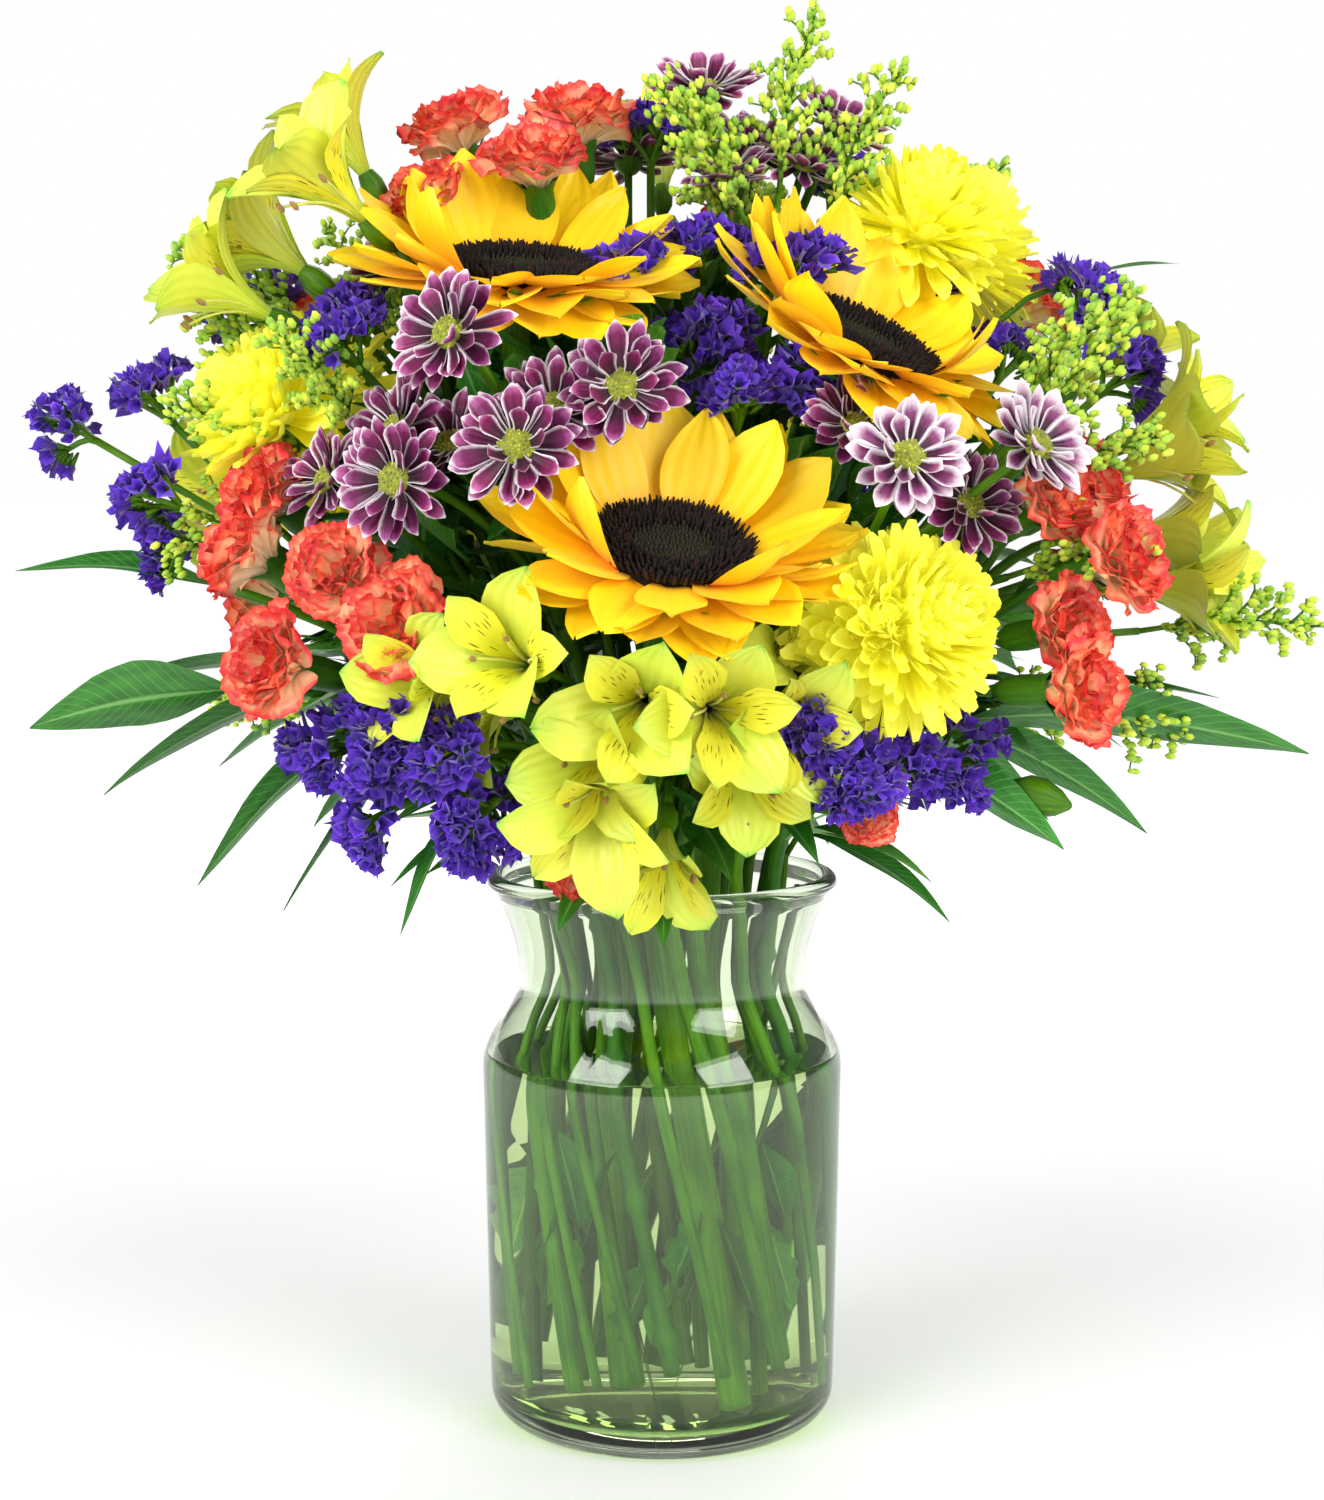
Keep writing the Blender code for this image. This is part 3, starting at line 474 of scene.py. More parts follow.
def stem_material(name, base, light):
    """Fresh stem: green with fine lengthwise fibres and paler patches."""
    material, tree, shader = new_material(name, 0.42, Specular_IOR_Level=0.25)
    uv = node(tree, "ShaderNodeUVMap", {"uv_map": "UVMap"}).outputs["UV"]
    stretch = node(tree, "ShaderNodeMapping", {"Scale": (9.0, 0.9, 1.0)}, Vector=uv).outputs["Vector"]
    grain = {"Scale": 3.0, "Detail": 5.0, "Roughness": 0.6}
    fibre = node(tree, "ShaderNodeTexNoise", grain, Vector=stretch).outputs["Fac"]
    where = node(tree, "ShaderNodeTexCoord").outputs["Object"]
    patch = node(tree, "ShaderNodeTexNoise", {"Scale": 38.0, "Detail": 2.0}, Vector=where).outputs["Fac"]
    half = node(tree, "ShaderNodeMath", {"operation": "MULTIPLY", 1: 0.5}, i0=patch)
    both = node(tree, "ShaderNodeMath", {"operation": "MULTIPLY_ADD", 1: 0.5}, i0=fibre, i2=half.outputs[0])
    colour = ramp(tree, both.outputs[0], [(0.32, base), (0.68, light)])
    shaded(tree, shader, colour, 0.7, 1.25)
    raise_relief(tree, shader, fibre, 0.3)
    return material


def leaf_material(name, base, light, vein, roughness=0.38):
    """A waxy leaf: dark green with a pale midrib and slanting side veins."""
    material, tree, shader = new_material(name, roughness)
    uv, _, v, off_middle = own_place(tree)
    noise = node(tree, "ShaderNodeTexNoise", {"Scale": 6.0, "Detail": 4.0}, Vector=uv).outputs["Fac"]
    body = ramp(tree, noise, [(0.3, base), (0.7, light)])
    slant = node(tree, "ShaderNodeMath", {"operation": "MULTIPLY_ADD", 1: -0.35}, i0=off_middle, i2=v)
    comb = node(tree, "ShaderNodeMath", {"operation": "MULTIPLY", 1: 110.0}, i0=slant.outputs[0])
    vein_wave = node(tree, "ShaderNodeMath", {"operation": "SINE"}, i0=comb.outputs[0])
    side_vein = node(tree, "ShaderNodeMapRange", {1: 0.8, 2: 1.0, 3: 0.0, 4: 0.35}, i0=vein_wave.outputs[0])
    midrib = node(tree, "ShaderNodeMapRange", {1: 0.05, 2: 0.015, 3: 0.0, 4: 1.0}, i0=off_middle)
    veins = node(tree, "ShaderNodeMath", {"operation": "MAXIMUM"}, i0=side_vein.outputs[0], i1=midrib.outputs[0])
    shaded(tree, shader, laid_over(tree, veins.outputs[0], body, vein), 0.65, 1.35)
    raise_relief(tree, shader, veins.outputs[0], 0.35)
    return material


def floret_material(name, stops, roughness=0.6, sheen=0.3):
    """Small florets and buds: colour by the tint attribute, with a fine mottle."""
    material, tree, shader = new_material(name, roughness, Sheen_Weight=sheen)
    tint = node(tree, "ShaderNodeAttribute", {"attribute_name": "tint"}).outputs["Fac"]
    where = node(tree, "ShaderNodeTexCoord").outputs["Object"]
    noise = node(tree, "ShaderNodeTexNoise", {"Scale": 700.0, "Detail": 2.0}, Vector=where).outputs["Fac"]
    wander = node(tree, "ShaderNodeMath", {"operation": "MULTIPLY_ADD", 1: 0.2, 2: -0.1}, i0=noise)
    both = node(tree, "ShaderNodeMath", {"operation": "ADD"}, i0=tint, i1=wander.outputs[0])
    tree.links.new(ramp(tree, both.outputs[0], stops), shader.inputs["Base Color"])
    return material


def clear_material(name, colour, ior, mirror=0.5):
    """Clear glass or water. Lamps shine through it, as they do through the real thin wall."""
    material, tree, shader = new_material(
        name, 0.0, Transmission_Weight=1.0, IOR=ior, Specular_IOR_Level=mirror, Base_Color=paint(colour)
    )
    clear = node(tree, "ShaderNodeBsdfTransparent", {"Color": paint(colour)}).outputs["BSDF"]
    lamp = node(tree, "ShaderNodeLightPath").outputs["Is Shadow Ray"]
    mixed = node(tree, "ShaderNodeMixShader", {}, Fac=lamp, i1=shader.outputs["BSDF"], i2=clear)
    tree.links.new(mixed.outputs["Shader"], tree.nodes["Material Output"].inputs["Surface"])
    return material


# thin satin ray petals: warm yellow that turns orange at the foot, with a few broad ribs
SUNFLOWER_PETAL = petal_material(
    "sunflower_ray_petal", [(0.0, "#F09A00"), (0.12, "#FDBC00"), (0.34, "#FFD000"), (1.0, "#FFDF12")],
    ribs=4, rib_depth=0.2, vary=0.07, glow=0.05,
)
# matt disc florets: olive in the middle, near black round it, with brown tips
SUNFLOWER_FLORET = floret_material(
    "sunflower_disc_floret",
    [(0.0, "#35351C"), (0.34, "#232012"), (0.46, "#0C0503"), (0.8, "#140805"), (1.0, "#2C100A")], 0.9, 0.0,
)
# rough hairy bracts under the sunflower and the other heads
BRACT = leaf_material("sunflower_bract", "#2F6B16", "#4F8F26", "#86B45A", 0.55)
# soft lemon petals, with a painted glow that stands in for the light coming through them
MUM_PETAL = petal_material(
    "chrysanthemum_petal", [(0.0, "#E4DC00"), (0.3, "#FBF410"), (1.0, "#FFFE58")],
    ribs=3, rib_depth=0.15, vary=0.05, glow=0.09,
)
# thin ruffled petals: cream to peach, with a coral edge
CARNATION_PETAL = petal_material(
    "carnation_petal",
    [(0.0, "#F8EBC0"), (0.74, "#FCD4A4"), (0.88, "#FAA27A"), (0.95, "#F2604A"), (1.0, "#E83A30")],
    edge=("#E02C30", 1.0, 1.14), ribs=8, rib_depth=0.3, vary=0.12, glow=0.03,
)
# velvety petals: wine red with a white rim
DAISY_PETAL = petal_material(
    "daisy_mum_petal",
    [(0.0, "#1E0212"), (0.34, "#46062E"), (0.68, "#740C50"), (0.86, "#AA4E8C"), (0.98, "#F2DCE8")],
    edge=("#FBF0F6", 0.72, 1.0), ribs=3, rib_depth=0.3, vary=0.16,
)
# the paler kind: a broad white rim and a wine red foot
WHITE_DAISY_PETAL = petal_material(
    "white_daisy_mum_petal",
    [(0.0, "#220418"), (0.3, "#4C0A38"), (0.6, "#8A3C70"), (0.86, "#E8D0DE"), (1.0, "#F4E8EE")],
    edge=("#FCF6F9", 0.52, 0.95), ribs=3, rib_depth=0.3, vary=0.10,
)
# the green-yellow button of packed florets
DAISY_BUTTON = floret_material("daisy_mum_button", [(0.0, "#6E7A10"), (0.5, "#969C16"), (1.0, "#BEC028")])
# smooth waxy tepals: lime yellow with a green tip
LILY_OUTER = petal_material(
    "alstroemeria_outer_tepal",
    [(0.0, "#A0B82C"), (0.25, "#C9D63E"), (0.72, "#D8DF4A"), (0.93, "#C6DA48"), (1.0, "#8CC43C")],
    ribs=6, rib_depth=0.25, vary=0.10, roughness=0.42, glow=0.03,
)
# the narrower tepals: brighter yellow, with dark dashes added below
LILY_INNER = petal_material(
    "alstroemeria_inner_tepal", [(0.0, "#AEBB2C"), (0.3, "#E2DE2A"), (0.8, "#E6E43E"), (1.0, "#CCDC4A")],
    ribs=6, rib_depth=0.25, vary=0.08, roughness=0.42, glow=0.03,
)
# dry papery cups: deep violet with paler rims
STATICE_PAPER = floret_material(
    "statice_calyx", [(0.0, "#C8B4F0"), (0.2, "#5A22C4"), (0.5, "#4812A6"), (0.8, "#6026CC"), (1.0, "#8850E4")],
    0.7, 0.3,
)
# unopened buds: lime to yellow
GOLDENROD_BUD = floret_material("goldenrod_bud", [(0.0, "#7FB01E"), (0.5, "#A9CC24"), (1.0, "#D2E23A")])
# pale threads with brown pollen at the tips
STAMEN = floret_material("stamen_and_anther", [(0.0, "#D8DE5A"), (0.6, "#C8B84A"), (1.0, "#8A5A2A")])
# fibrous stems: yellow-green on the thick ones, blue-green on the carnations
THICK_STEM = stem_material("sunflower_stem_skin", "#3C7400", "#78A808")
THIN_STEM = stem_material("soft_stem_skin", "#2A5C02", "#609208")
BLUE_STEM = stem_material("carnation_stem_skin", "#245C10", "#4C8820")
# waxy leaves with pale veins
LEAF = leaf_material("dark_waxy_leaf", "#1E6212", "#2F7D1E", "#6FA658")
LIGHT_LEAF = leaf_material("young_leaf", "#3F8A22", "#5CA334", "#9CC46E")
# pressed glass, faintly green, and water that takes its green from the stems; the water mirrors less, because
# glass touches it all round and little light turns back there
GLASS = clear_material("pressed_soda_lime_glass", "#EBF4E0", 1.5)
WATER = clear_material("still_water", "#E4F2C0", 1.33, mirror=0.12)


def add_streaks(material, colour, start, end):
    """Fine dark dashes along the inner tepals."""
    tree = material.node_tree
    shader = tree.nodes["Principled BSDF"]
    source = shader.inputs["Base Color"].links[0].from_socket
    uv = node(tree, "ShaderNodeUVMap", {"uv_map": "UVMap"}).outputs["UV"]
    stretch = node(tree, "ShaderNodeMapping", {"Scale": (16.0, 4.5, 1.0)}, Vector=uv).outputs["Vector"]
    cells = node(tree, "ShaderNodeTexVoronoi", {"Scale": 1.0}, Vector=stretch).outputs["Distance"]
    dash = node(tree, "ShaderNodeMapRange", {1: 0.26, 2: 0.18, 3: 0.0, 4: 1.0}, i0=cells).outputs[0]
    v = node(tree, "ShaderNodeSeparateXYZ", {}, Vector=uv).outputs["Y"]
    low = node(tree, "ShaderNodeMapRange", {1: start, 2: start + 0.1}, i0=v).outputs[0]
    high = node(tree, "ShaderNodeMapRange", {1: end, 2: end - 0.15}, i0=v).outputs[0]
    band = node(tree, "ShaderNodeMath", {"operation": "MULTIPLY"}, i0=low, i1=high)
    share = node(tree, "ShaderNodeMath", {"operation": "MULTIPLY"}, i0=band.outputs[0], i1=dash)
    tree.links.new(laid_over(tree, share.outputs[0], source, colour), shader.inputs["Base Color"])


add_streaks(LILY_INNER, "#5A2208", 0.25, 0.85)


# ------------------------------------------------------------------ shapes to repeat

# how many points each kind of petal has across and along
RAY = sheet_form(6, 12)
SPATULA = sheet_form(4, 8)
FAN = sheet_form(15, 8)
SPOON = sheet_form(6, 8)
TEPAL = sheet_form(8, 12)
BLADE = sheet_form(6, 16)
BUD = bud_form()
FLORET = cone_form(5, 0.35)


def outline(*pairs):
    """A half-width curve through (place along, share of half width) pairs."""
    places, shares = zip(*pairs)
    return lambda v: np.interp(v, places, shares)


RAY_EDGE = outline(
    (0, 0.46), (0.12, 0.68), (0.3, 0.92), (0.48, 1), (0.66, 0.94), (0.82, 0.66), (0.93, 0.32), (1, 0.05)
)
SPATULA_EDGE = outline((0, 0.34), (0.35, 0.55), (0.62, 0.86), (0.8, 1), (0.93, 0.82), (1, 0.4))
FAN_EDGE = outline((0, 0.1), (0.25, 0.16), (0.45, 0.42), (0.65, 0.78), (0.85, 1), (1, 0.98))
SPOON_EDGE = outline((0, 0.4), (0.3, 0.64), (0.55, 0.94), (0.72, 1), (0.88, 0.72), (0.96, 0.38), (1, 0.1))
OUTER_EDGE = outline((0, 0.14), (0.2, 0.34), (0.45, 0.76), (0.65, 1), (0.82, 0.84), (0.93, 0.46), (1, 0.04))
INNER_EDGE = outline((0, 0.14), (0.25, 0.3), (0.5, 0.62), (0.72, 1), (0.88, 0.82), (0.96, 0.4), (1, 0.06))
BLADE_EDGE = outline((0, 0.08), (0.1, 0.4), (0.3, 0.88), (0.45, 1), (0.65, 0.82), (0.85, 0.42), (1, 0.02))
LOBED_EDGE = outline(
    (0, 0.1), (0.14, 0.2), (0.26, 0.85), (0.36, 0.5), (0.5, 1), (0.62, 0.52), (0.76, 0.78), (0.86, 0.42), (1, 0.04)
)


def seed_of(name):
    """A random source that a piece's name always starts in the same way."""
    return np.random.default_rng(sum(ord(c) * (k + 7) for k, c in enumerate(name)))


# ------------------------------------------------------------------ blooms, each drawn into a bunch

DISC_FLORETS = 900
DISC_REACH = 24 * MM
FRINGE_START = 0.46  # share of the disc's reach where the short middle florets end
BRACTS = 15
DAISY_FLORETS = 64
CARNATION_PETALS = 44
PLUME_TWIGS = 22
CUPS_IN_A_COMB = 13


def add_disc(bunch, frame3, back, rng, slots):
    """The sunflower's disc: green cup behind, dark dome in front with packed florets in spirals."""
    cup = turned_form([(0, 0), (5 * MM, 0.2 * MM), (12 * MM, 4 * MM), (20 * MM, 9 * MM), (23 * MM, 13 * MM)], 24)
    bunch.add(cup, put(cup.points, frame3, back), 0.4, slots["green"])
    dome = turned_form([(23 * MM, 12.5 * MM), (22 * MM, 15 * MM), (13 * MM, 17 * MM), (0, 16.4 * MM)], 24)
    bunch.add(dome, put(dome.points, frame3, back), 0.55, slots["floret"])
    for k in range(DISC_FLORETS):
        share = math.sqrt((k + 0.5) / DISC_FLORETS)
        reach, turn = DISC_REACH * share, GOLDEN * k
        fringe = min(max((share - FRINGE_START) / 0.12, 0), 1)
        height = (1.7 + fringe * (2.0 + 1.5 * rng.random())) * MM
        girth = (0.6 + 0.26 * fringe) * MM
        lean = (0.12 + 0.65 * max(share - 0.7, 0) / 0.3) if fringe > 0.5 else -0.1
        level = (15.8 + 0.6 * share) * MM
        axis = unit(np.array([math.cos(turn) * lean, math.sin(turn) * lean, 1.0]) + rng.normal(0, 0.09, 3))
        side = unit(np.cross(axis, [0.2, 1, 0.1]))
        local = np.column_stack([side, np.cross(axis, side), axis])
        foot = [reach * math.cos(turn), reach * math.sin(turn), level]
        points = (FLORET.points * [girth, girth, height]) @ local.T + foot
        tint = (0.5 + 0.5 * rng.random()) if fringe > 0.5 else (0.04 + 0.26 * rng.random())
        bunch.add(FLORET, put(points, frame3, back), tint, slots["floret"])
    for layer in range(2):
        for k in range(BRACTS):
            turn = 2 * math.pi * (k + 0.5 * layer) / BRACTS + rng.normal(0, 0.08)
            points = petal(
                BLADE, (26 - 3 * layer) * MM, 10 * MM, BLADE_EDGE, (2 + rng.normal(0, 6), 38), 0.2, turn,
                (14 * MM, (7 - 2 * layer) * MM),
            )
            bunch.add(BLADE, put(points, frame3, back), 0.3 + 0.4 * rng.random(), slots["green"])


def add_rays(bunch, frame3, back, rng, slots):
    """The sunflower's ray petals in three loose layers: the upper ones stand up, the lower ones hang or fold in."""
    # petals in the layer, their length in mm, and the rise of their foot and tip in degrees
    layers = ((17, 41, 4, 18), (17, 40, 14, 30), (10, 36, 26, 48))
    for layer, (count, length, low, high) in enumerate(layers):
        for k in range(count):
            turn = 2 * math.pi * (k + 0.5 * layer) / count + rng.normal(0, 0.08)
            lower = math.sin(turn)
            start, end = low - 14 * lower, high - 26 * lower + rng.normal(0, 7)
            if lower > 0.2 and rng.random() < 0.07:
                start, end = start + 35, end + 75
            long = length * MM * rng.uniform(0.9, 1.06) * (1 - 0.12 * max(lower, 0) + 0.17 * max(-lower, 0))
            wide = 24.5 * MM * rng.uniform(0.88, 1.1)
            cup, twist = rng.uniform(-0.05, 0.3), rng.normal(0, 0.22)
            phase, wave = rng.uniform(0, 6), rng.uniform(0.3, 1.3) * MM
            points = petal(
                RAY, long, wide, RAY_EDGE, (start, end), cup, turn, (21.0 * MM, (12.0 + layer) * MM), twist,
                lambda u, v: wave * np.sin(3 * u + 5 * v + phase) * v - 0.8 * MM * np.exp(-(u / 0.25) ** 2),
            )
            bunch.add(RAY, put(points, frame3, back), rng.random(), slots["petal"])


def add_mum(bunch, frame3, back, rng, slots, size=1.0, count=330):
    """A decorative chrysanthemum: narrow spoon-ended petals in rising layers that curl inwards."""
    cup = turned_form([(0, 0), (4 * MM, 0.3 * MM), (8.5 * MM, 4 * MM), (9.5 * MM, 9 * MM)], 16)
    bunch.add(cup, put(cup.points * size, frame3, back), 0.4, slots["green"])
    core = turned_form([(7 * MM, 5 * MM), (11 * MM, 12 * MM), (8 * MM, 22 * MM), (0, 26 * MM)], 14)
    bunch.add(core, put(core.points * size, frame3, back), 0.3, slots["petal"])
    for k in range(count):
        share = (k + 0.5) / count
        turn = GOLDEN * k
        low = -34 + 112 * share**0.8 + rng.normal(0, 5)
        curl = 14 + 34 * share + rng.normal(0, 10)
        length, width = (31 - 9 * share) * MM * size * rng.uniform(0.86, 1.1), (8.0 - 1.6 * share) * MM * size
        foot = (7.5 * MM * (1 - share) * size, (8 + 13 * share) * MM * size)
        points = petal(
            SPATULA, length, width, SPATULA_EDGE, (low, low + curl), rng.uniform(0.35, 0.8), turn, foot,
            rng.normal(0, 0.25),
        )
        tint = 0.2 + 0.8 * rng.random() * (0.5 + 0.5 * share)
        bunch.add(SPATULA, put(points, frame3, back), tint, slots["petal"])


def add_carnation(bunch, frame3, back, rng, slots, size=1.0):
    """A spray carnation: tubular green calyx and a dense ruffle of fringed petals."""
    unit_size = MM * size
    calyx = turned_form(
        [(0, 0), (2.6 * MM, 0), (5 * MM, 5 * MM), (5.6 * MM, 12 * MM), (5.2 * MM, 18 * MM), (6.4 * MM, 21 * MM)], 14
    )
    bunch.add(calyx, put(calyx.points * size, frame3, back), 0.45, slots["green"])
    for k in range(6):
        turn = 2 * math.pi * k / 6
        foot = (5 * unit_size, 17 * unit_size)
        points = petal(SPATULA, 8 * unit_size, 5 * unit_size, BLADE_EDGE, (70, 40), 0.3, turn, foot)
        bunch.add(SPATULA, put(points, frame3, back), 0.5, slots["green"])
    for k in range(CARNATION_PETALS):
        share = (k + 0.5) / CARNATION_PETALS
        turn = GOLDEN * k + rng.normal(0, 0.2)
        end = -16 + 96 * share**0.8 + rng.normal(0, 8)
        phase, waves, depth = rng.uniform(0, 6), rng.uniform(5, 9), rng.uniform(1.2, 2.6)
        length, width = (31 - 4 * share) * unit_size * rng.uniform(0.92, 1.06), (26 - 6 * share) * unit_size
        points = petal(
            FAN, length, width, FAN_EDGE, (86, end), rng.uniform(-0.1, 0.3), turn, (1.4 * MM, 12.5 * unit_size),
            rng.normal(0, 0.3), lambda u, v: depth * unit_size * v**2.2 * np.sin(waves * u + phase), 0.26,
        )
        teeth = (FAN.v > 0.95) * np.where(np.arange(len(FAN.v)) % 2 == 0, 0.5, -0.4) * MM * size
        middle = points.mean(axis=0)
        away = points - middle
        away /= np.linalg.norm(away, axis=1)[:, None] + 1e-9
        points = points + away * teeth[:, None]
        bunch.add(FAN, put(points, frame3, back), 0.1 + 0.85 * rng.random(), slots["petal"])


def add_daisy(bunch, frame3, back, rng, slots, size):
    """A small daisy chrysanthemum: spoon petals in three rows round a button of tiny florets."""
    cup = turned_form([(0, 0), (1.8 * MM, 0), (4.5 * MM, 2.4 * MM), (6.2 * MM, 5.5 * MM)], 12)
    bunch.add(cup, put(cup.points * size, frame3, back), 0.4, slots["green"])
    button = turned_form([(6.2 * MM, 5.4 * MM), (5.6 * MM, 7.4 * MM), (3 * MM, 8.6 * MM), (0, 8.9 * MM)], 12)
    bunch.add(button, put(button.points * size, frame3, back), 0.3, slots["button"])
    for k in range(DAISY_FLORETS):
        share = math.sqrt((k + 0.5) / DAISY_FLORETS)
        turn = GOLDEN * k
        spot = np.array([5.6 * share * math.cos(turn), 5.6 * share * math.sin(turn), 8.6 - 1.9 * share**2]) * MM
        points = (BUD.points * [0.62 * MM, 0.62 * MM, 1.05 * MM] + spot) * size
        bunch.add(BUD, put(points, frame3, back), rng.random(), slots["button"])
    # petals in the row, their length in mm, and the rise of their foot and tip in degrees
    rows = ((13, 17.0, -6, 26), (11, 16.0, 10, 44), (5, 11.5, 34, 74))
    for layer, (count, length, low, high) in enumerate(rows):
        for k in range(count):
            turn = 2 * math.pi * (k + 0.5 * layer) / count + rng.normal(0, 0.08)
            tilt = rng.normal(0, 7)
            long = length * MM * size * rng.uniform(0.88, 1.1)
            wide = 7.2 * MM * size * rng.uniform(0.84, 1.08)
            foot = (4.2 * MM * size, (5.2 + 1.1 * layer) * MM * size)
            points = petal(
                SPOON, long, wide, SPOON_EDGE, (low + tilt, high + tilt * 1.8), rng.uniform(0.3, 0.75), turn, foot,
                rng.normal(0, 0.2),
            )
            bunch.add(SPOON, put(points, frame3, back), rng.random(), slots["petal"])


def add_lily(bunch, frame3, back, rng, slots, size):
    """An alstroemeria: ovary, three broad outer tepals, three streaked inner ones and curved stamens."""
    ovary = turned_form([(0, 0), (1.8 * MM, 0), (3.6 * MM, 4 * MM), (3.8 * MM, 8 * MM), (2.6 * MM, 12 * MM)], 10)
    bunch.add(ovary, put(ovary.points * size, frame3, back), 0.4, slots["green"])
    # length and width in mm, rise of the tip in degrees, edge and material, for outer and inner tepals
    kinds = (41, 20, 12, OUTER_EDGE, "outer"), (40, 13.5, 34, INNER_EDGE, "inner")
    for k in range(6):
        inner = k % 2
        turn = math.pi / 3 * k + rng.normal(0, 0.08)
        length, width, end, edge, slot = kinds[inner]
        end = end + rng.normal(0, 13)
        length = length * MM * size * rng.uniform(0.9, 1.08)
        twist, phase = rng.normal(0, 0.14), rng.uniform(0, 6)
        points = petal(
            TEPAL, length, width * MM * size, edge, (84, end), 0.32, turn, (1.5 * MM, 9.5 * MM * size), twist,
            lambda u, v: 0.7 * MM * np.sin(4 * v + 2 * u + phase) * v - 0.5 * MM * np.exp(-(u / 0.2) ** 2),
        )
        bunch.add(TEPAL, put(points, frame3, back), rng.random(), slots[slot])
    for k in range(6):
        turn = math.pi / 3 * k + 0.4
        t = np.linspace(0, 1, 6)
        reach, high = (1.2 + 9.5 * t**1.8) * MM * size, (11 + 23 * t - 3 * t**3) * MM * size
        sag = 0.9 * t**2 * MM * size * 6
        line = np.column_stack([reach * math.cos(turn), reach * math.sin(turn) + sag, high])
        form = tube_form(line, np.full(6, 0.5 * MM), 5)
        bunch.add(form, put(form.points, frame3, back), 0.2, slots["stamen"])
        anther = BUD.points * [1.1 * MM, 1.1 * MM, 2.2 * MM] + line[-1]
        bunch.add(BUD, put(anther, frame3, back), 0.9, slots["stamen"])


def calyx_cup():
    """A papery five-lobed cup of height 1, opening upwards."""
    sides = 10
    turns = np.arange(sides) * 2 * math.pi / sides
    lobe = np.where(np.arange(sides) % 2 == 0, 1.0, 0.74)
    rings = [(0.12, 0.0), (0.34, 0.55), (0.85, 0.95)]
    points, uv = [], []
    for k, (r, z) in enumerate(rings):
        wide = r * (lobe if k == 2 else 1)
        height = np.full(sides, z) + (0.1 * (lobe > 0.9) if k == 2 else 0)
        points.append(np.column_stack([wide * np.cos(turns), wide * np.sin(turns), height]))
        uv.append(np.column_stack([turns / (2 * math.pi), np.full(sides, z)]))
    return Form(np.concatenate(points), ring_quads(len(rings), sides), NO_TRIANGLES, np.concatenate(uv))


CUP = calyx_cup()


def add_statice(bunch, frame3, back, rng, slots, size, combs=5):
    """A statice head: short twigs, each ending in a one-sided comb of papery violet cups above green bracts."""
    spin = rng.uniform(0, 6)
    for c in range(combs):
        turn = spin + 2 * math.pi * c / combs + rng.normal(0, 0.3)
        tilt = rng.uniform(0.25, 1.0) if c else 0.05
        aim = np.array([math.sin(tilt) * math.cos(turn), math.sin(tilt) * math.sin(turn), math.cos(tilt)])
        tip = aim * rng.uniform(11, 18) * MM * size + np.array([0, 0, 2.5 * MM])
        twig = bend(np.zeros(3), UP, tip, aim, np.linspace(0, 1, 5))
        form = tube_form(twig, np.linspace(1.2, 1.0, 5) * MM, 5)
        bunch.add(form, put(form.points, frame3, back), 0.5, slots["green"])
        side = unit(np.cross(aim, [0.3, 1, 0.2]))
        along = unit(side + rng.normal(0, 0.6, 3) * 0.5)
        sideways = np.cross(aim, along)
        for k in range(CUPS_IN_A_COMB):
            row, place = k % 2, (k // 2 - 3) / 3
            lean = unit(aim + along * place * 0.75 + sideways * (row - 0.5) * 0.9 + rng.normal(0, 0.25, 3))
            offset = along * place * 5.0 + aim * (1 - place**2) * 3.0 + sideways * (row - 0.5) * 3.2
            foot = tip + offset * MM * size - aim * 2 * MM
            across = unit(np.cross(lean, rng.normal(0, 1, 3)))
            local = np.column_stack([across, np.cross(lean, across), lean])
            scale = rng.uniform(4.8, 6.4) * MM * size
            crumple = 1 + rng.normal(0, 0.2, CUP.points.shape) * (CUP.points[:, 2:] > 0.5)
            points = (CUP.points * crumple * [0.66, 0.66, 1] * scale) @ local.T + foot
            tint = np.where(CUP.points[:, 2] > 0.9, 0.3 + 0.7 * rng.random(), 0.45)
            bunch.add(CUP, put(points, frame3, back), tint, slots["paper"])
            if k % 2 == 0:
                bract = (FLORET.points * [1.3 * MM, 1.3 * MM, -5 * MM]) @ local.T + foot + lean * MM
                bunch.add(FLORET, put(bract, frame3, back), 0.5, slots["green"])


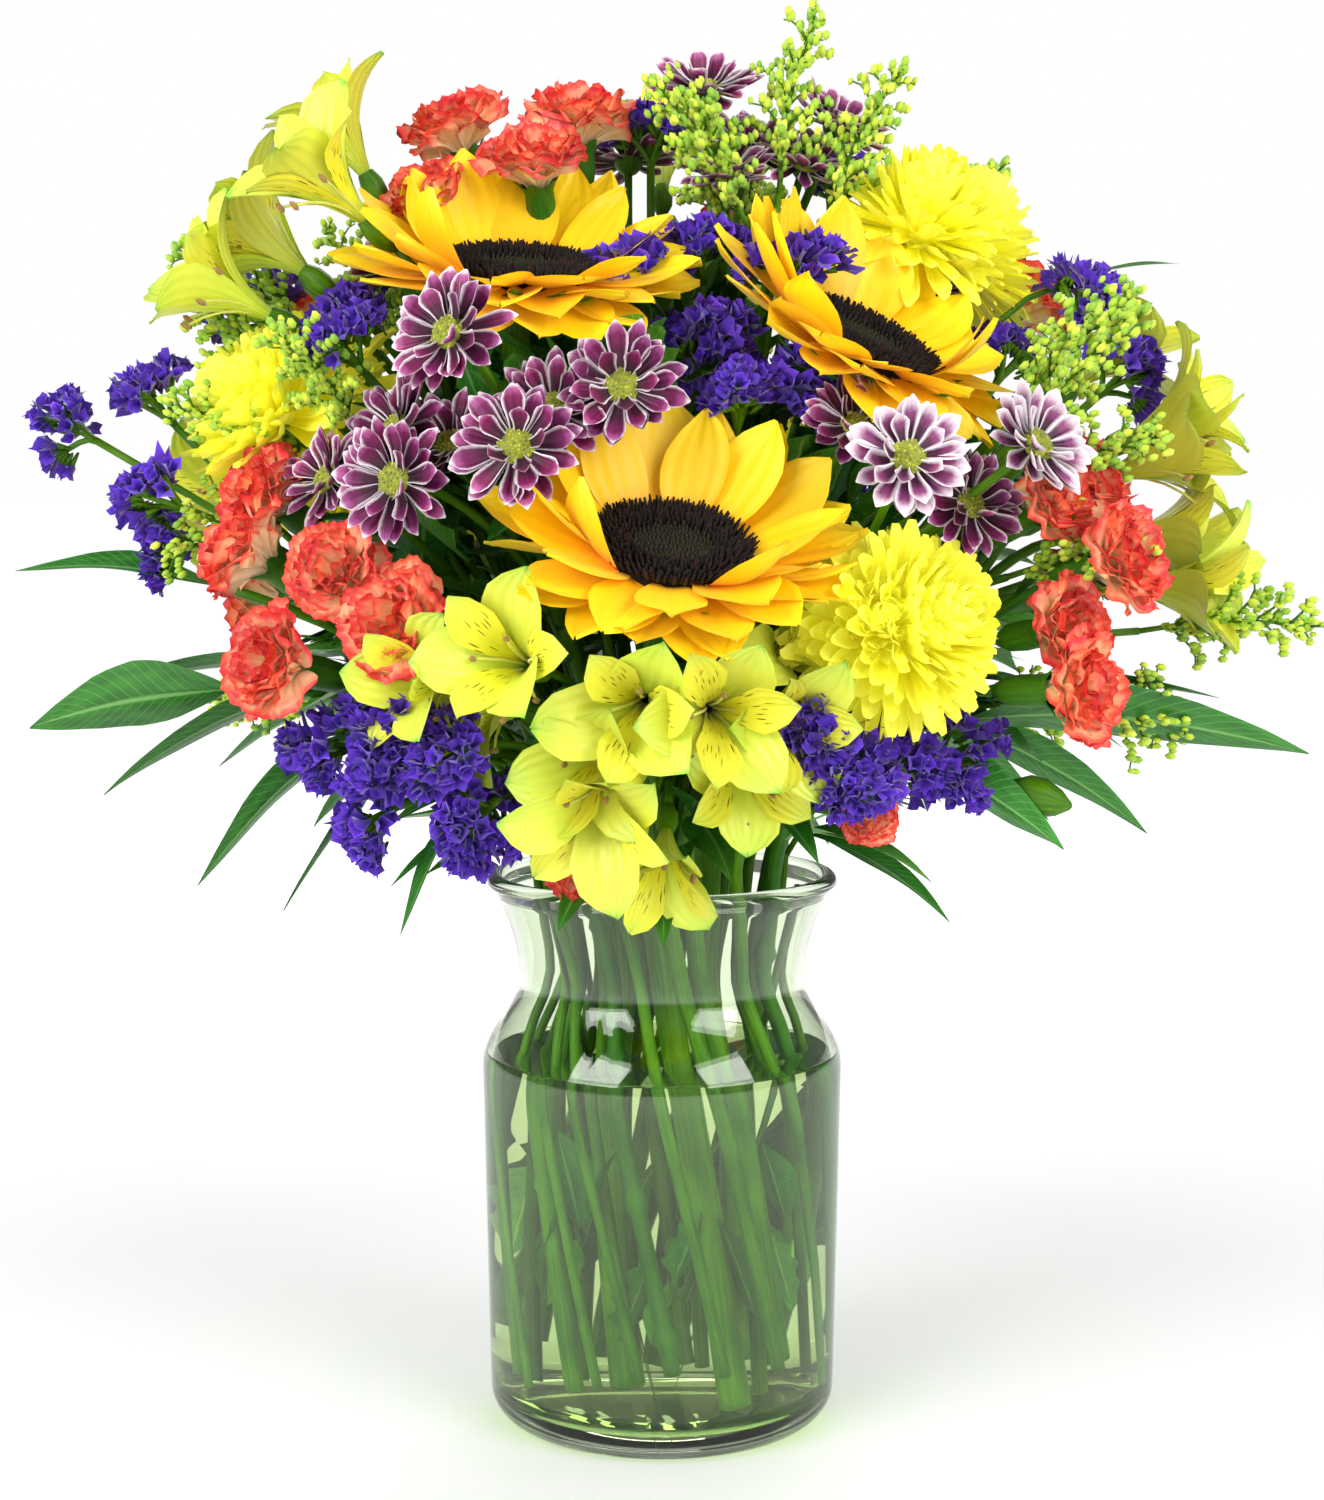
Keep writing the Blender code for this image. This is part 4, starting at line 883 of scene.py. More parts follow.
def add_goldenrod(bunch, frame3, back, rng, slots, length):
    """A goldenrod plume: arching side twigs set with tiny round buds along their upper sides."""
    axis = np.array([[0, 0, 0], [0, -0.02 * length, 0.5 * length], [0, 0.06 * length, length]])
    line = smooth_line(axis, 10)
    form = tube_form(line, np.linspace(1.1, 0.4, 10) * MM, 6)
    bunch.add(form, put(form.points, frame3, back), 0.5, slots["green"])
    for k in range(PLUME_TWIGS):
        share = 0.12 + 0.88 * (k + 0.5) / PLUME_TWIGS
        turn = GOLDEN * k + rng.normal(0, 0.3)
        start = np.array([np.interp(share, np.linspace(0, 1, 10), line[:, i]) for i in range(3)])
        reach = (16 * (1 - share) ** 0.6 + 4) * MM * rng.uniform(0.8, 1.15)
        out = np.array([math.cos(turn), math.sin(turn), 0.0])
        end = start + out * reach + np.array([0, 0, reach * 0.55])
        twig = bend(start, unit(out + [0, 0, 1.1]), end, unit(out + [0, 0, -0.25]), np.linspace(0, 1, 5), 0.4)
        form = tube_form(twig, np.linspace(0.6, 0.3, 5) * MM, 4)
        bunch.add(form, put(form.points, frame3, back), 0.5, slots["green"])
        buds = max(int(reach / (1.25 * MM)), 4)
        for j in range(buds):
            t = (j + 0.7) / buds
            spot = np.array([np.interp(t, np.linspace(0, 1, 5), twig[:, i]) for i in range(3)])
            spot = spot + (np.array([0, 0, 1.0]) + rng.normal(0, 0.75, 3)) * 1.1 * MM
            girth = rng.uniform(1.0, 1.55) * MM
            points = BUD.points * [girth, girth, girth * 1.45] + spot
            bunch.add(BUD, put(points, frame3, back), rng.random(), slots["bud"])


LEAF_FOLD = 0.35  # how far a blade's sides rise from its midrib, as a share of their width


def add_leaf(bunch, base, way, length, width, droop, rng, slot, edge=BLADE_EDGE, tint=None, roll=0.0):
    """One leaf blade: folded along its midrib and arching down by droop over its length."""
    across = unit(np.cross(way, UP)) if abs(way[2]) < 0.95 else np.array([1.0, 0, 0])
    across = unit(across + UP * rng.normal(0, 0.18))
    normal = np.cross(across, way)
    c, s = math.cos(roll), math.sin(roll)
    across, normal = across * c + normal * s, normal * c - across * s
    u, v = BLADE.u, BLADE.v
    half = width / 2 * edge(v)
    wave = 0.03 * width * np.sin(9 * v + rng.uniform(0, 6)) * np.abs(u)
    height = LEAF_FOLD * np.abs(u) * half + wave
    points = base + np.outer(v * length, way) + np.outer(u * half, across)
    points = points + np.outer(height, normal) - np.outer(droop * v**2, UP)
    bunch.add(BLADE, points, rng.random() if tint is None else tint, slot)


# ------------------------------------------------------------------ stems

JOINT_SPACING, JOINT_LENGTH = 48 * MM, 2.6 * MM  # the swollen joints of a carnation stem


def add_stem(bunch, line, radius, rng, slot, swollen=False, taper=1.0, sides=9):
    """A tube along a line, slightly tapered, with swollen joints where the kind has them."""
    line = np.asarray(line)
    lengths = np.concatenate([[0], np.cumsum(np.linalg.norm(np.diff(line, axis=0), axis=1))])
    radii = radius * np.linspace(1, taper, len(line))
    if swollen:
        start = rng.uniform(10, 40) * MM
        for place in np.arange(start, lengths[-1], JOINT_SPACING):
            radii = radii + radius * 0.55 * np.exp(-(((lengths - place) / JOINT_LENGTH) ** 2))
    form = tube_form(line, radii, sides)
    bunch.add(form, form.points, rng.uniform(0.25, 0.75), slot)


def run_up(line, back, way, steps):
    """A smooth run from a line's end to a bloom's back, 1 mm into the bloom."""
    return bend(line[-1], onward(line), back + way * MM, way, np.linspace(0, 1, steps))


def stem_line(node, back, way):
    """A single-bloom stem: the bundle's line, then a smooth run up to the bloom's back."""
    low = bundle_line(node)
    return np.vstack([smooth_line(low, 40), run_up(low, back, way, 26)[1:]])


def trunk_line(low, heads, steps):
    """The part of a branching stem between the bundle and its fork, a little over half way to its heads."""
    middle = np.mean([back for back, _ in heads], axis=0)
    return bend(low[-1], onward(low), middle, unit(middle - low[-1]), np.linspace(0, 0.55, steps))


def any_way(rng, *rise):
    """A random direction round the stem; a pair in rise is drawn between its ends."""
    turn = rng.uniform(0, 2 * math.pi)
    return unit(np.array([math.cos(turn), math.sin(turn), rng.uniform(*rise) if len(rise) == 2 else rise[0]]))


BLOOMS = []  # back, facing, radius and level of each bloom, which leaves keep clear of


def bloom_axis(node, stem):
    """The back point and facing of a turned bloom: its two poles, the back one next to the stem."""
    points, triangles = node_mesh(node)
    fans = np.bincount(triangles.ravel(), minlength=len(points))
    ends = points[np.argsort(-fans)[:2]]
    stem_points, _ = node_mesh(stem)
    gaps = [np.linalg.norm(stem_points - end, axis=1).min() for end in ends]
    back, top = (ends[0], ends[1]) if gaps[0] < gaps[1] else (ends[1], ends[0])
    return back, unit(top - back)


for side in ("front", "left", "right"):
    disc, rays, stem = (f"sunflower_{side}_{part}" for part in ("disc", "petals", "stem"))
    rng = seed_of(disc)
    back, way = bloom_axis(disc, stem)
    BLOOMS.append((back, way, 60 * MM, 10 * MM))
    frame3 = head_frame(way)
    bunch = Bunch()
    add_disc(bunch, frame3, back, rng, {"green": 0, "floret": 1})
    bunch.piece(disc, [BRACT, SUNFLOWER_FLORET], [disc])
    bunch = Bunch()
    add_rays(bunch, frame3, back, rng, {"petal": 0})
    bunch.piece(rays, [SUNFLOWER_PETAL], [rays])
    bunch = Bunch()
    line = stem_line(stem, back, way)
    add_stem(bunch, line, 5 * MM, rng, 0, taper=0.95, sides=14)
    for k in range(5):
        out = any_way(rng, 0.5)
        add_leaf(bunch, line[44 + 4 * k], out, rng.uniform(34, 48) * MM, rng.uniform(16, 24) * MM, 10 * MM, rng, 1)
    bunch.piece(stem, [THICK_STEM, LEAF], [stem])

for side in ("front", "top", "left", "back"):
    bloom, stem = f"mum_{side}_bloom", f"mum_{side}_stem"
    rng = seed_of(bloom)
    back, way = bloom_axis(bloom, stem)
    BLOOMS.append((back, way, 30 * MM, 6 * MM))
    bunch = Bunch()
    add_mum(bunch, head_frame(way), back, rng, {"petal": 0, "green": 1})
    bunch.piece(bloom, [MUM_PETAL, BRACT], [bloom])
    bunch = Bunch()
    line = stem_line(stem, back, way)
    add_stem(bunch, line, 3.2 * MM, rng, 0, sides=12)
    for k in range(9):
        out = any_way(rng, 0.1, 0.8)
        length, width = rng.uniform(34, 52) * MM, rng.uniform(20, 28) * MM
        add_leaf(bunch, line[42 + 2 * k], out, length, width, 8 * MM, rng, 1, LOBED_EDGE)
    bunch.piece(stem, [THIN_STEM, LEAF], [stem])

CARNATIONS = {"left": 3, "top": 2, "right": 3, "back": 2}
for side, count in CARNATIONS.items():
    stem = f"carnation_{side}_stem"
    rng = seed_of(stem)
    low = bundle_line(stem)
    stems = Bunch()
    backs = []
    for k in range(count):
        bloom = f"carnation_{side}_bloom_{k + 1}"
        back, way = bloom_axis(bloom, stem)
        backs.append((back, way))
        BLOOMS.append((back, way, 18 * MM, 18 * MM))
        bunch = Bunch()
        add_carnation(bunch, head_frame(way), back, rng, {"green": 0, "petal": 1})
        bunch.piece(bloom, [BLUE_STEM, CARNATION_PETAL], [bloom])
    trunk = trunk_line(low, backs, 14)
    add_stem(stems, np.vstack([smooth_line(low, 60), trunk[1:]]), 2.8 * MM, rng, 0, swollen=True)
    for back, way in backs:
        arm = run_up(trunk, back, way, 12)
        add_stem(stems, arm, 1.9 * MM, rng, 0, sides=7)
        for j in range(3):
            add_leaf(stems, arm[3 + 3 * j], any_way(rng, 0.7), 38 * MM, 4.4 * MM, 9 * MM, rng, 0, tint=0.5)
    stems.piece(stem, [BLUE_STEM], [stem])

# kind: its plain head's tip radius and height, and its stem's radius, in mm
SPRAYS = {
    "daisy": (7.35, 13, 2.4), "lily": (12, 37, 2.8), "statice": (3.6, 27, 2.2), "goldenrod": (2.7, None, 2.0),
}
SPRAY_NODES = {
    "daisy": ("left", "right", "top", "back"), "lily": ("front", "right", "top", "back"),
    "statice": ("low_left", "low_right", "left", "centre", "right", "back"),
    "goldenrod": ("top", "left", "right", "back"),
}
PLUMES = {"top": 62, "left": 58, "right": 60, "back": 56}  # length of each goldenrod plume in mm


def add_head(kind, bunch, back, way, rng, white=False, size=1.0, length=60 * MM):
    """One head of a spray, of its kind, with a small change of size and roll."""
    BLOOMS.append((back, way, 17 * MM, 4 * MM))
    frame3 = head_frame(way, rng.uniform(-0.6, 0.6))
    if kind == "daisy":
        add_daisy(bunch, frame3, back, rng, {"green": 0, "petal": 2 if white else 1, "button": 3}, size)
    elif kind == "lily":
        add_lily(bunch, frame3, back, rng, {"green": 0, "outer": 1, "inner": 2, "stamen": 3}, size * 1.1)
    elif kind == "statice":
        add_statice(bunch, frame3, back, rng, {"green": 0, "paper": 1}, size)
    elif kind == "carnation":
        add_carnation(bunch, frame3, back, rng, {"green": 0, "petal": 1}, size=size)
    elif kind == "mum":
        add_mum(bunch, frame3, back, rng, {"green": 0, "petal": 1}, size, 190)
    else:
        add_goldenrod(bunch, frame3, back, rng, {"green": 0, "bud": 1}, length * size)


HEAD_MATERIALS = {
    "daisy": [THIN_STEM, DAISY_PETAL, WHITE_DAISY_PETAL, DAISY_BUTTON],
    "lily": [THIN_STEM, LILY_OUTER, LILY_INNER, STAMEN],
    "statice": [THIN_STEM, STATICE_PAPER], "goldenrod": [THIN_STEM, GOLDENROD_BUD],
    "carnation": [BLUE_STEM, CARNATION_PETAL], "mum": [THIN_STEM, MUM_PETAL],
}
for kind, (tip_radius, tip_height, girth) in SPRAYS.items():
    for side in SPRAY_NODES[kind]:
        name = f"{kind}_{side}"
        rng = seed_of(name)
        height = tip_height or PLUMES[side]
        heads = [(tip - way * height * MM, way) for tip, way in flat_tips(name, tip_radius * MM)]
        low = bundle_line(name)
        bunch = Bunch()
        trunk = trunk_line(low, heads, 12)
        add_stem(bunch, np.vstack([smooth_line(low, 30), trunk[1:]]), girth * MM, rng, 0, sides=8)
        for back, way in heads:
            add_stem(bunch, run_up(trunk, back, way, 10), girth * 0.66 * MM, rng, 0, sides=6)
            add_head(kind, bunch, back, way, rng, name == "daisy_right", length=height * MM)
        bunch.piece(name, HEAD_MATERIALS[kind], [name])

# turn of a blade round its midrib, then each blade's length, width and droop in mm
ROLLS = {"leaf_right_broad": 0.9, "leaf_left_broad": -0.8, "leaf_left_low": -0.7}
LEAVES = {
    "leaf_left_long": (74, 17, 14), "leaf_left_broad": (66, 26, 8), "leaf_left_low": (52, 14, 10),
    "leaf_right_long": (78, 15, 12), "leaf_right_broad": (118, 24, 22), "leaf_back_left": (84, 24, 14),
    "leaf_back_right": (90, 20, 16),
}
for name, (length, width, droop) in LEAVES.items():
    rng = seed_of(name)
    points, _ = node_mesh(name)
    low = bundle_line(name)
    tip = points[np.argmax(np.linalg.norm(points - low[-1], axis=1))]
    gap = np.linalg.norm(points - tip, axis=1) / (length * MM)
    base = points[(gap > 0.9) & (gap < 1.08)].mean(axis=0)
    way = unit(tip + UP * droop * MM - base)
    bunch = Bunch()
    stalk = bend(low[-1], onward(low), base, way, np.linspace(0, 1, 14))
    add_stem(bunch, np.vstack([smooth_line(low, 24), stalk[1:]]), 1.8 * MM, rng, 0, sides=7)
    add_leaf(bunch, base, way, length * MM, width * MM, droop * MM, rng, 1, tint=0.5, roll=ROLLS.get(name, 0.0))
    bunch.piece(name, [THIN_STEM, LEAF], [name])


# ------------------------------------------------------------------ fillers between the main blooms

def facing(azimuth, elevation):
    """The direction with this azimuth and elevation in degrees."""
    a, e = math.radians(azimuth), math.radians(elevation)
    return np.array([math.cos(e) * math.cos(a), math.cos(e) * math.sin(a), math.sin(e)])


# kind, name, then heads as (x, y, z in mm, azimuth, elevation, size)
FILLERS = (
    ("carnation", "filler_carnation", (
        (-112, -40, 312, -140, 35, 0.95), (-92, -62, 292, -115, 25, 0.9), (-40, 0, 414, -105, 65, 0.95),
        (-70, 4, 408, -130, 50, 0.85), (106, -52, 312, -35, 30, 0.95), (110, -60, 280, -45, 10, 0.9),
        (-24, -60, 210, -100, -10, 0.6), (60, -66, 224, -70, 5, 0.55), (30, 66, 400, 90, 45, 1.0),
        (60, 76, 296, 60, 15, 1.0), (-58, 80, 296, 120, 10, 1.0), (-110, 40, 366, 150, 45, 0.95),
        (112, 44, 376, 20, 45, 0.95), (118, 40, 286, 20, 5, 0.9), (-120, 36, 286, 160, 5, 0.9),
    )),
    ("daisy", "filler_daisy", (
        (-66, -66, 340, -120, 35, 0.95), (-34, -80, 352, -95, 25, 0.95), (-104, -66, 330, -140, 25, 0.9),
        (60, -72, 346, -70, 35, 0.9), (96, -70, 322, -60, 25, 0.9), (-6, 94, 326, 95, 20, 1.0),
        (-70, 86, 340, 120, 25, 1.0), (54, 86, 334, 70, 30, 1.0), (-40, 60, 412, 110, 60, 1.0),
        (92, 44, 396, 30, 55, 0.9), (-96, 66, 276, 140, -5, 0.95), (14, 96, 262, 90, -5, 1.0),
        (48, 14, 436, -60, 60, 0.9), (22, 2, 432, -90, 60, 0.85), (-12, 40, 440, 90, 70, 0.9),
        (-92, 30, 402, 140, 60, 0.9),
    )),
    ("lily", "filler_alstroemeria", (
        (-4, -98, 266, -95, -5, 1.1), (-36, -92, 272, -110, 10, 1.05), (12, -100, 262, -80, 0, 1.0),
        (-58, -80, 268, -125, 5, 0.95), (26, -88, 260, -65, -5, 0.95), (-14, -94, 246, -100, -25, 1.05),
        (2, -80, 228, -95, -40, 0.9), (-88, -36, 408, -150, 40, 1.1), (-112, -6, 392, 180, 45, 1.1),
        (-120, -24, 380, -165, 30, 1.05), (140, -14, 328, -15, 20, 1.15), (146, -22, 296, -20, 0, 1.1),
        (134, 6, 356, 10, 40, 1.05), (150, 8, 300, 10, 5, 1.05), (66, 76, 262, 60, -5, 1.0),
        (-46, 78, 256, 115, -5, 1.0), (-128, 22, 322, 165, 15, 1.0), (0, 62, 428, 90, 60, 0.95),
        (-20, 84, 280, 100, 5, 1.0), (20, 84, 372, 80, 40, 1.0),
    )),
    ("statice", "filler_statice", (
        (-96, -72, 246, -145, 5, 1.1), (-76, -90, 246, -125, 0, 1.1), (-54, -94, 230, -115, -20, 1.05),
        (-84, -80, 228, -135, -15, 1.05), (-62, -98, 248, -110, -5, 1.0), (40, -98, 254, -70, -5, 1.0),
        (54, -94, 240, -65, -10, 1.0), (88, -62, 242, -40, 0, 1.0), (42, -24, 388, -70, 60, 1.15),
        (14, -34, 366, -90, 60, 1.15), (44, -44, 350, -70, 55, 1.1), (-8, -24, 386, -100, 60, 1.1),
        (24, -60, 346, -80, 50, 1.0), (-98, -20, 376, -150, 45, 1.0), (-158, -18, 310, -170, 10, 0.9),
        (150, 0, 360, 10, 40, 1.0), (60, 86, 314, 65, 25, 1.2), (-30, 92, 350, 100, 30, 1.2),
        (88, 72, 246, 45, -5, 1.1), (-98, 66, 246, 140, -5, 1.1), (0, 92, 236, 90, -15, 1.2),
        (-50, 78, 234, 115, -10, 1.1), (46, 80, 236, 65, -15, 1.1), (-88, 56, 394, 140, 55, 1.1),
        (60, 48, 424, 60, 65, 1.1), (118, 56, 336, 25, 25, 1.1), (-136, 28, 384, 160, 45, 1.1),
        (24, 90, 350, 85, 30, 1.1), (-86, 76, 306, 130, 15, 1.1), (86, 66, 290, 45, 10, 1.1),
        (-4, 30, 440, 90, 80, 1.0),
    )),
    ("goldenrod", "filler_goldenrod", (
        (56, 4, 418, -30, 65, 0.95), (24, 2, 414, -130, 70, 0.8), (112, -48, 326, -15, 25, 0.9),
        (116, -46, 352, -10, 50, 0.9), (112, -56, 300, -25, 15, 0.8), (-112, -30, 340, -160, 20, 0.9),
        (-98, -48, 346, -130, 45, 0.8), (140, -40, 256, -10, -8, 0.55), (-122, -16, 362, 175, 40, 0.9),
        (-90, 40, 374, 150, 55, 1.0), (30, 62, 410, 80, 65, 0.9), (98, 48, 400, 30, 60, 0.9),
        (-20, 88, 286, 95, 10, 0.7), (112, 40, 246, 20, 0, 0.8), (-120, 40, 252, 160, 0, 0.8),
        (84, 74, 352, 50, 35, 0.8),
    )),
    ("mum", "filler_mum", (
        (-46, 70, 326, 120, 25, 0.95), (100, 50, 400, 40, 50, 0.85), (86, 16, 408, -60, 60, 0.95),
        (-112, -10, 352, -160, 45, 0.95), (-108, 40, 330, 155, 20, 0.9), (62, -78, 284, -75, 15, 0.8),
    )),
)
for kind, name, heads in FILLERS:
    rng = seed_of(name)
    bunch = Bunch()
    for x, y, z, azimuth, elevation, size in heads:
        back, way = np.array([x, y, z]) * MM, facing(azimuth, elevation)
        start = np.array([x * 0.16, y * 0.16, 200]) * MM
        line = bend(start, unit(np.array([x * 0.5, y * 0.5, 140.0])), back + way * MM, way, np.linspace(0, 1, 16))
        add_stem(bunch, line, 1.5 * MM, rng, 0, sides=6)
        add_head(kind, bunch, back, way, rng, size=size)
    bunch.piece(name, HEAD_MATERIALS[kind])


def hides_bloom(base, way, length, droop):
    """Whether a leaf would come in front of a bloom's face."""
    for share in (0.3, 0.65, 1.0):
        point = base + way * length * share - UP * droop * share**2
        for back, face, radius, level in BLOOMS:
            gap = point - back
            high = gap @ face
            if level < high < 70 * MM and np.linalg.norm(gap - face * high) < radius:
                return True
    return False


# green foliage that fills the heart of the bouquet and hangs over the rim
INNER_LEAVES, COLLAR_LEAVES, WATER_LEAVES = 460, 44, 26
rng = seed_of("foliage")
bunch = Bunch()
heart = np.array([0, -6, 278]) * MM
for k in range(INNER_LEAVES):
    turn, high = GOLDEN * k, 1 - 1.4 * (k + 0.5) / INNER_LEAVES
    flat = math.sqrt(max(1 - high * high, 0))
    way = np.array([flat * math.cos(turn), flat * math.sin(turn), high])
    reach = rng.uniform(0.45, 0.74)
    place = heart + way * np.array([138, 82, 160 if high > 0 else 90]) * MM * reach
    out = unit(way * [1, 1, 0.8] + [0, 0, 0.15] + rng.normal(0, 0.35, 3))
    lobed = k % 3 != 0
    length, droop = rng.uniform(38, 58) * MM, rng.uniform(2, 14) * MM
    width = (rng.uniform(20, 28) if lobed else rng.uniform(9, 15)) * MM
    if hides_bloom(place, out, length, droop):
        continue
    edge = LOBED_EDGE if lobed else BLADE_EDGE
    add_leaf(bunch, place, out, length, width, droop, rng, k % 2, edge, tint=rng.uniform(0.15, 0.7))
bunch.piece("inner_foliage", [LEAF, LIGHT_LEAF])

# collar leaves over the rim
bunch = Bunch()
for k in range(COLLAR_LEAVES):
    turn = GOLDEN * k
    reach = rng.uniform(46, 66)
    base = np.array([math.cos(turn) * reach, math.sin(turn) * reach, rng.uniform(206, 232)]) * MM
    out = unit(np.array([math.cos(turn), math.sin(turn), rng.uniform(-0.2, 0.45)]))
    add_leaf(bunch, base, out, rng.uniform(34, 56) * MM, rng.uniform(9, 17) * MM, rng.uniform(6, 18) * MM, rng, k % 2)
bunch.piece("collar_foliage", [LEAF, LIGHT_LEAF])


# long narrow leaves that arch out below the blooms: base in mm, azimuth, elevation, length, width, droop, roll
LONG_LEAVES = (
    (-112, -46, 262, -175, -8, 74, 15, 24, -0.6), (-98, -60, 250, -165, -28, 62, 20, 20, -0.8),
    (-84, -66, 242, -150, -38, 54, 14, 14, -0.6), (-62, -72, 230, -130, -42, 44, 12, 12, -0.4),
    (100, -50, 262, 5, 10, 88, 11, 18, 0.3), (84, -62, 240, -15, -18, 50, 24, 12, 0.9),
    (146, 6, 402, 0, 14, 34, 6, 4, 0.5), (-110, -40, 270, 172, 6, 84, 13, 20, -0.4),
    (104, 44, 256, 20, -2, 74, 17, 22, 0.3), (-102, 46, 254, 160, -8, 70, 17, 20, -0.3),
    (40, 66, 248, 70, -20, 60, 15, 16, 0.4), (-40, 68, 244, 110, -22, 58, 15, 16, -0.4),
    (88, 30, 246, 25, -20, 66, 14, 18, 0.5), (-84, 36, 242, 150, -26, 60, 14, 14, -0.5),
    (96, -30, 250, 0, -16, 72, 18, 18, 0.7),
)
rng = seed_of("long leaves")
bunch = Bunch()
for x, y, z, azimuth, elevation, length, width, droop, roll in LONG_LEAVES:
    base, way = np.array([x, y, z]) * MM, facing(azimuth, elevation)
    start = np.array([x * 0.3, y * 0.3, 200]) * MM
    stalk = bend(start, unit(np.array([x * 0.6, y * 0.6, 120.0])), base, way, np.linspace(0, 1, 12))
    add_stem(bunch, stalk, 1.1 * MM, rng, 0, sides=6)
    add_leaf(bunch, base, way, length * MM, width * MM, droop * MM, rng, 1, roll=roll)
bunch.piece("long_leaves", [THIN_STEM, LEAF])

# leaves left on the stems under water
bunch = Bunch()
for k in range(WATER_LEAVES):
    turn = GOLDEN * k
    reach = rng.uniform(22, 44)
    base = np.array([math.cos(turn) * reach, math.sin(turn) * reach, rng.uniform(34, 112)]) * MM
    out = unit(np.array([-math.sin(turn) * 0.35, math.cos(turn) * 0.35, 1.0 if base[2] < 70 * MM else -1.0]))
    length, width, edge = rng.uniform(26, 44) * MM, rng.uniform(9, 20) * MM, LOBED_EDGE if k % 3 else BLADE_EDGE
    add_leaf(bunch, base, out, length, width, 0.0, rng, k % 2, edge, roll=rng.uniform(-1, 1))
bunch.piece("stem_leaves_in_water", [LEAF, LIGHT_LEAF])

# a closed green alstroemeria bud on its own thin stalk
bunch = Bunch()
bud_place, bud_way = np.array([112, -66, 232]) * MM, facing(-10, -15)
stalk_foot, stalk_way = np.array([20, -20, 205]) * MM, unit(np.array([1.0, -0.5, 0.9]))
stalk = bend(stalk_foot, stalk_way, bud_place, bud_way, np.linspace(0, 1, 14))
add_stem(bunch, stalk, 1.2 * MM, rng, 0, sides=6)
pod_profile = ((0, 0), (3, 1), (6.5, 7), (6.8, 12), (4.4, 18), (1.2, 22), (0, 22.5))
pod = turned_form([(r * MM, z * MM) for r, z in pod_profile], 14)
bunch.add(pod, put(pod.points, head_frame(bud_way), bud_place), 0.5, 0)
bunch.piece("closed_bud", [THIN_STEM])


# ------------------------------------------------------------------ vase and water

def lathe(name, profile, steps, material, replaced):
    """Turn a closed profile of (radius, height) pairs in mm round the upright axis."""
    mesh = bpy.data.meshes.new(name)
    points = [(r * MM, 0, z * MM) for r, z in profile]
    mesh.from_pydata(points, [(k, k + 1) for k in range(len(points) - 1)], [])
    obj = bpy.data.objects.new(name, mesh)
    bpy.context.scene.collection.objects.link(obj)
    bpy.ops.object.select_all(action="DESELECT")
    obj.select_set(True)
    bpy.context.view_layer.objects.active = obj
    screw = obj.modifiers.new("turn", "SCREW")
    screw.steps = screw.render_steps = steps
    screw.use_merge_vertices = True
    screw.merge_threshold = 0.01 * MM
    screw.use_normal_calculate = True
    bpy.ops.object.modifier_apply(modifier="turn")
    bpy.ops.object.mode_set(mode="EDIT")
    bpy.ops.mesh.select_all(action="SELECT")
    bpy.ops.mesh.remove_doubles(threshold=0.01 * MM)
    bpy.ops.mesh.normals_make_consistent(inside=False)
    bpy.ops.object.mode_set(mode="OBJECT")
    bpy.ops.object.shade_smooth_by_angle(angle=math.radians(50))
    obj.data.materials.clear()
    obj.data.materials.append(material)
    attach(obj, ROOT)
    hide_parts(*replaced)
    bpy.ops.object.select_all(action="DESELECT")
    return obj


# the vase's radii and heights in mm
FOOT_RADIUS, BODY_RADIUS, NECK_RADIUS, RIM_RADIUS = 61, 63.5, 50.5, 58.5
SHOULDER_START, SHOULDER_END, FLARE_RISE, RIM_HEIGHT = 127, 158, 33.8, 191.8
WALL, FLOOR, HEEL, BEAD = 3, 9, 11, 3.2
WATER_LEVEL = 130.0


def outer_radius(z):
    """The vase's outer radius in mm at a height: straight body, shoulder, neck, then the flare."""
    if z < SHOULDER_START:
        return FOOT_RADIUS + (BODY_RADIUS - FOOT_RADIUS) * z / SHOULDER_START
    if z < SHOULDER_END:
        turn = math.pi * (z - SHOULDER_START) / (SHOULDER_END - SHOULDER_START)
        return BODY_RADIUS - (BODY_RADIUS - NECK_RADIUS) * (1 - math.cos(turn)) / 2
    return NECK_RADIUS + 9.5 * (1 - math.cos(math.pi / 2 * min((z - SHOULDER_END) / FLARE_RISE, 1)))


def inner_radius(z):
    """The vase's inner radius in mm at a height, with a round corner above the thick floor."""
    rise = min(max(z - FLOOR, 0) / 8, 1)
    return outer_radius(z) - WALL - 8 * (1 - math.sqrt(1 - (1 - rise) ** 2))


corner = FLOOR + 8 * (1 - np.cos(np.linspace(0, math.pi / 2, 7)))
walls = list(np.concatenate([corner, np.linspace(24, 127, 12), np.linspace(130, 188.6, 26)]))
punt = [(0, 10.4), (20, 10.2), (34, 9.9), (37.5, 9.0), (39.5, 9.3), (43, 9.0)]
glass = punt + [(inner_radius(z), z) for z in walls]
for degrees in range(190, -11, -20):
    a = math.radians(degrees)
    glass.append((RIM_RADIUS + BEAD * math.cos(a), RIM_HEIGHT + BEAD * math.sin(a)))
glass += [(outer_radius(z), z) for z in reversed(walls[len(corner):])]
for degrees in range(0, 91, 15):
    a = math.radians(degrees)
    glass.append((outer_radius(HEEL) - HEEL * (1 - math.cos(a)), HEEL * (1 - math.sin(a))))
glass += [(44, 0.2), (40, 1.6), (36, 2.4), (20, 3.0), (0, 3.2)]
lathe("vase", glass, 96, GLASS, ["vase"])

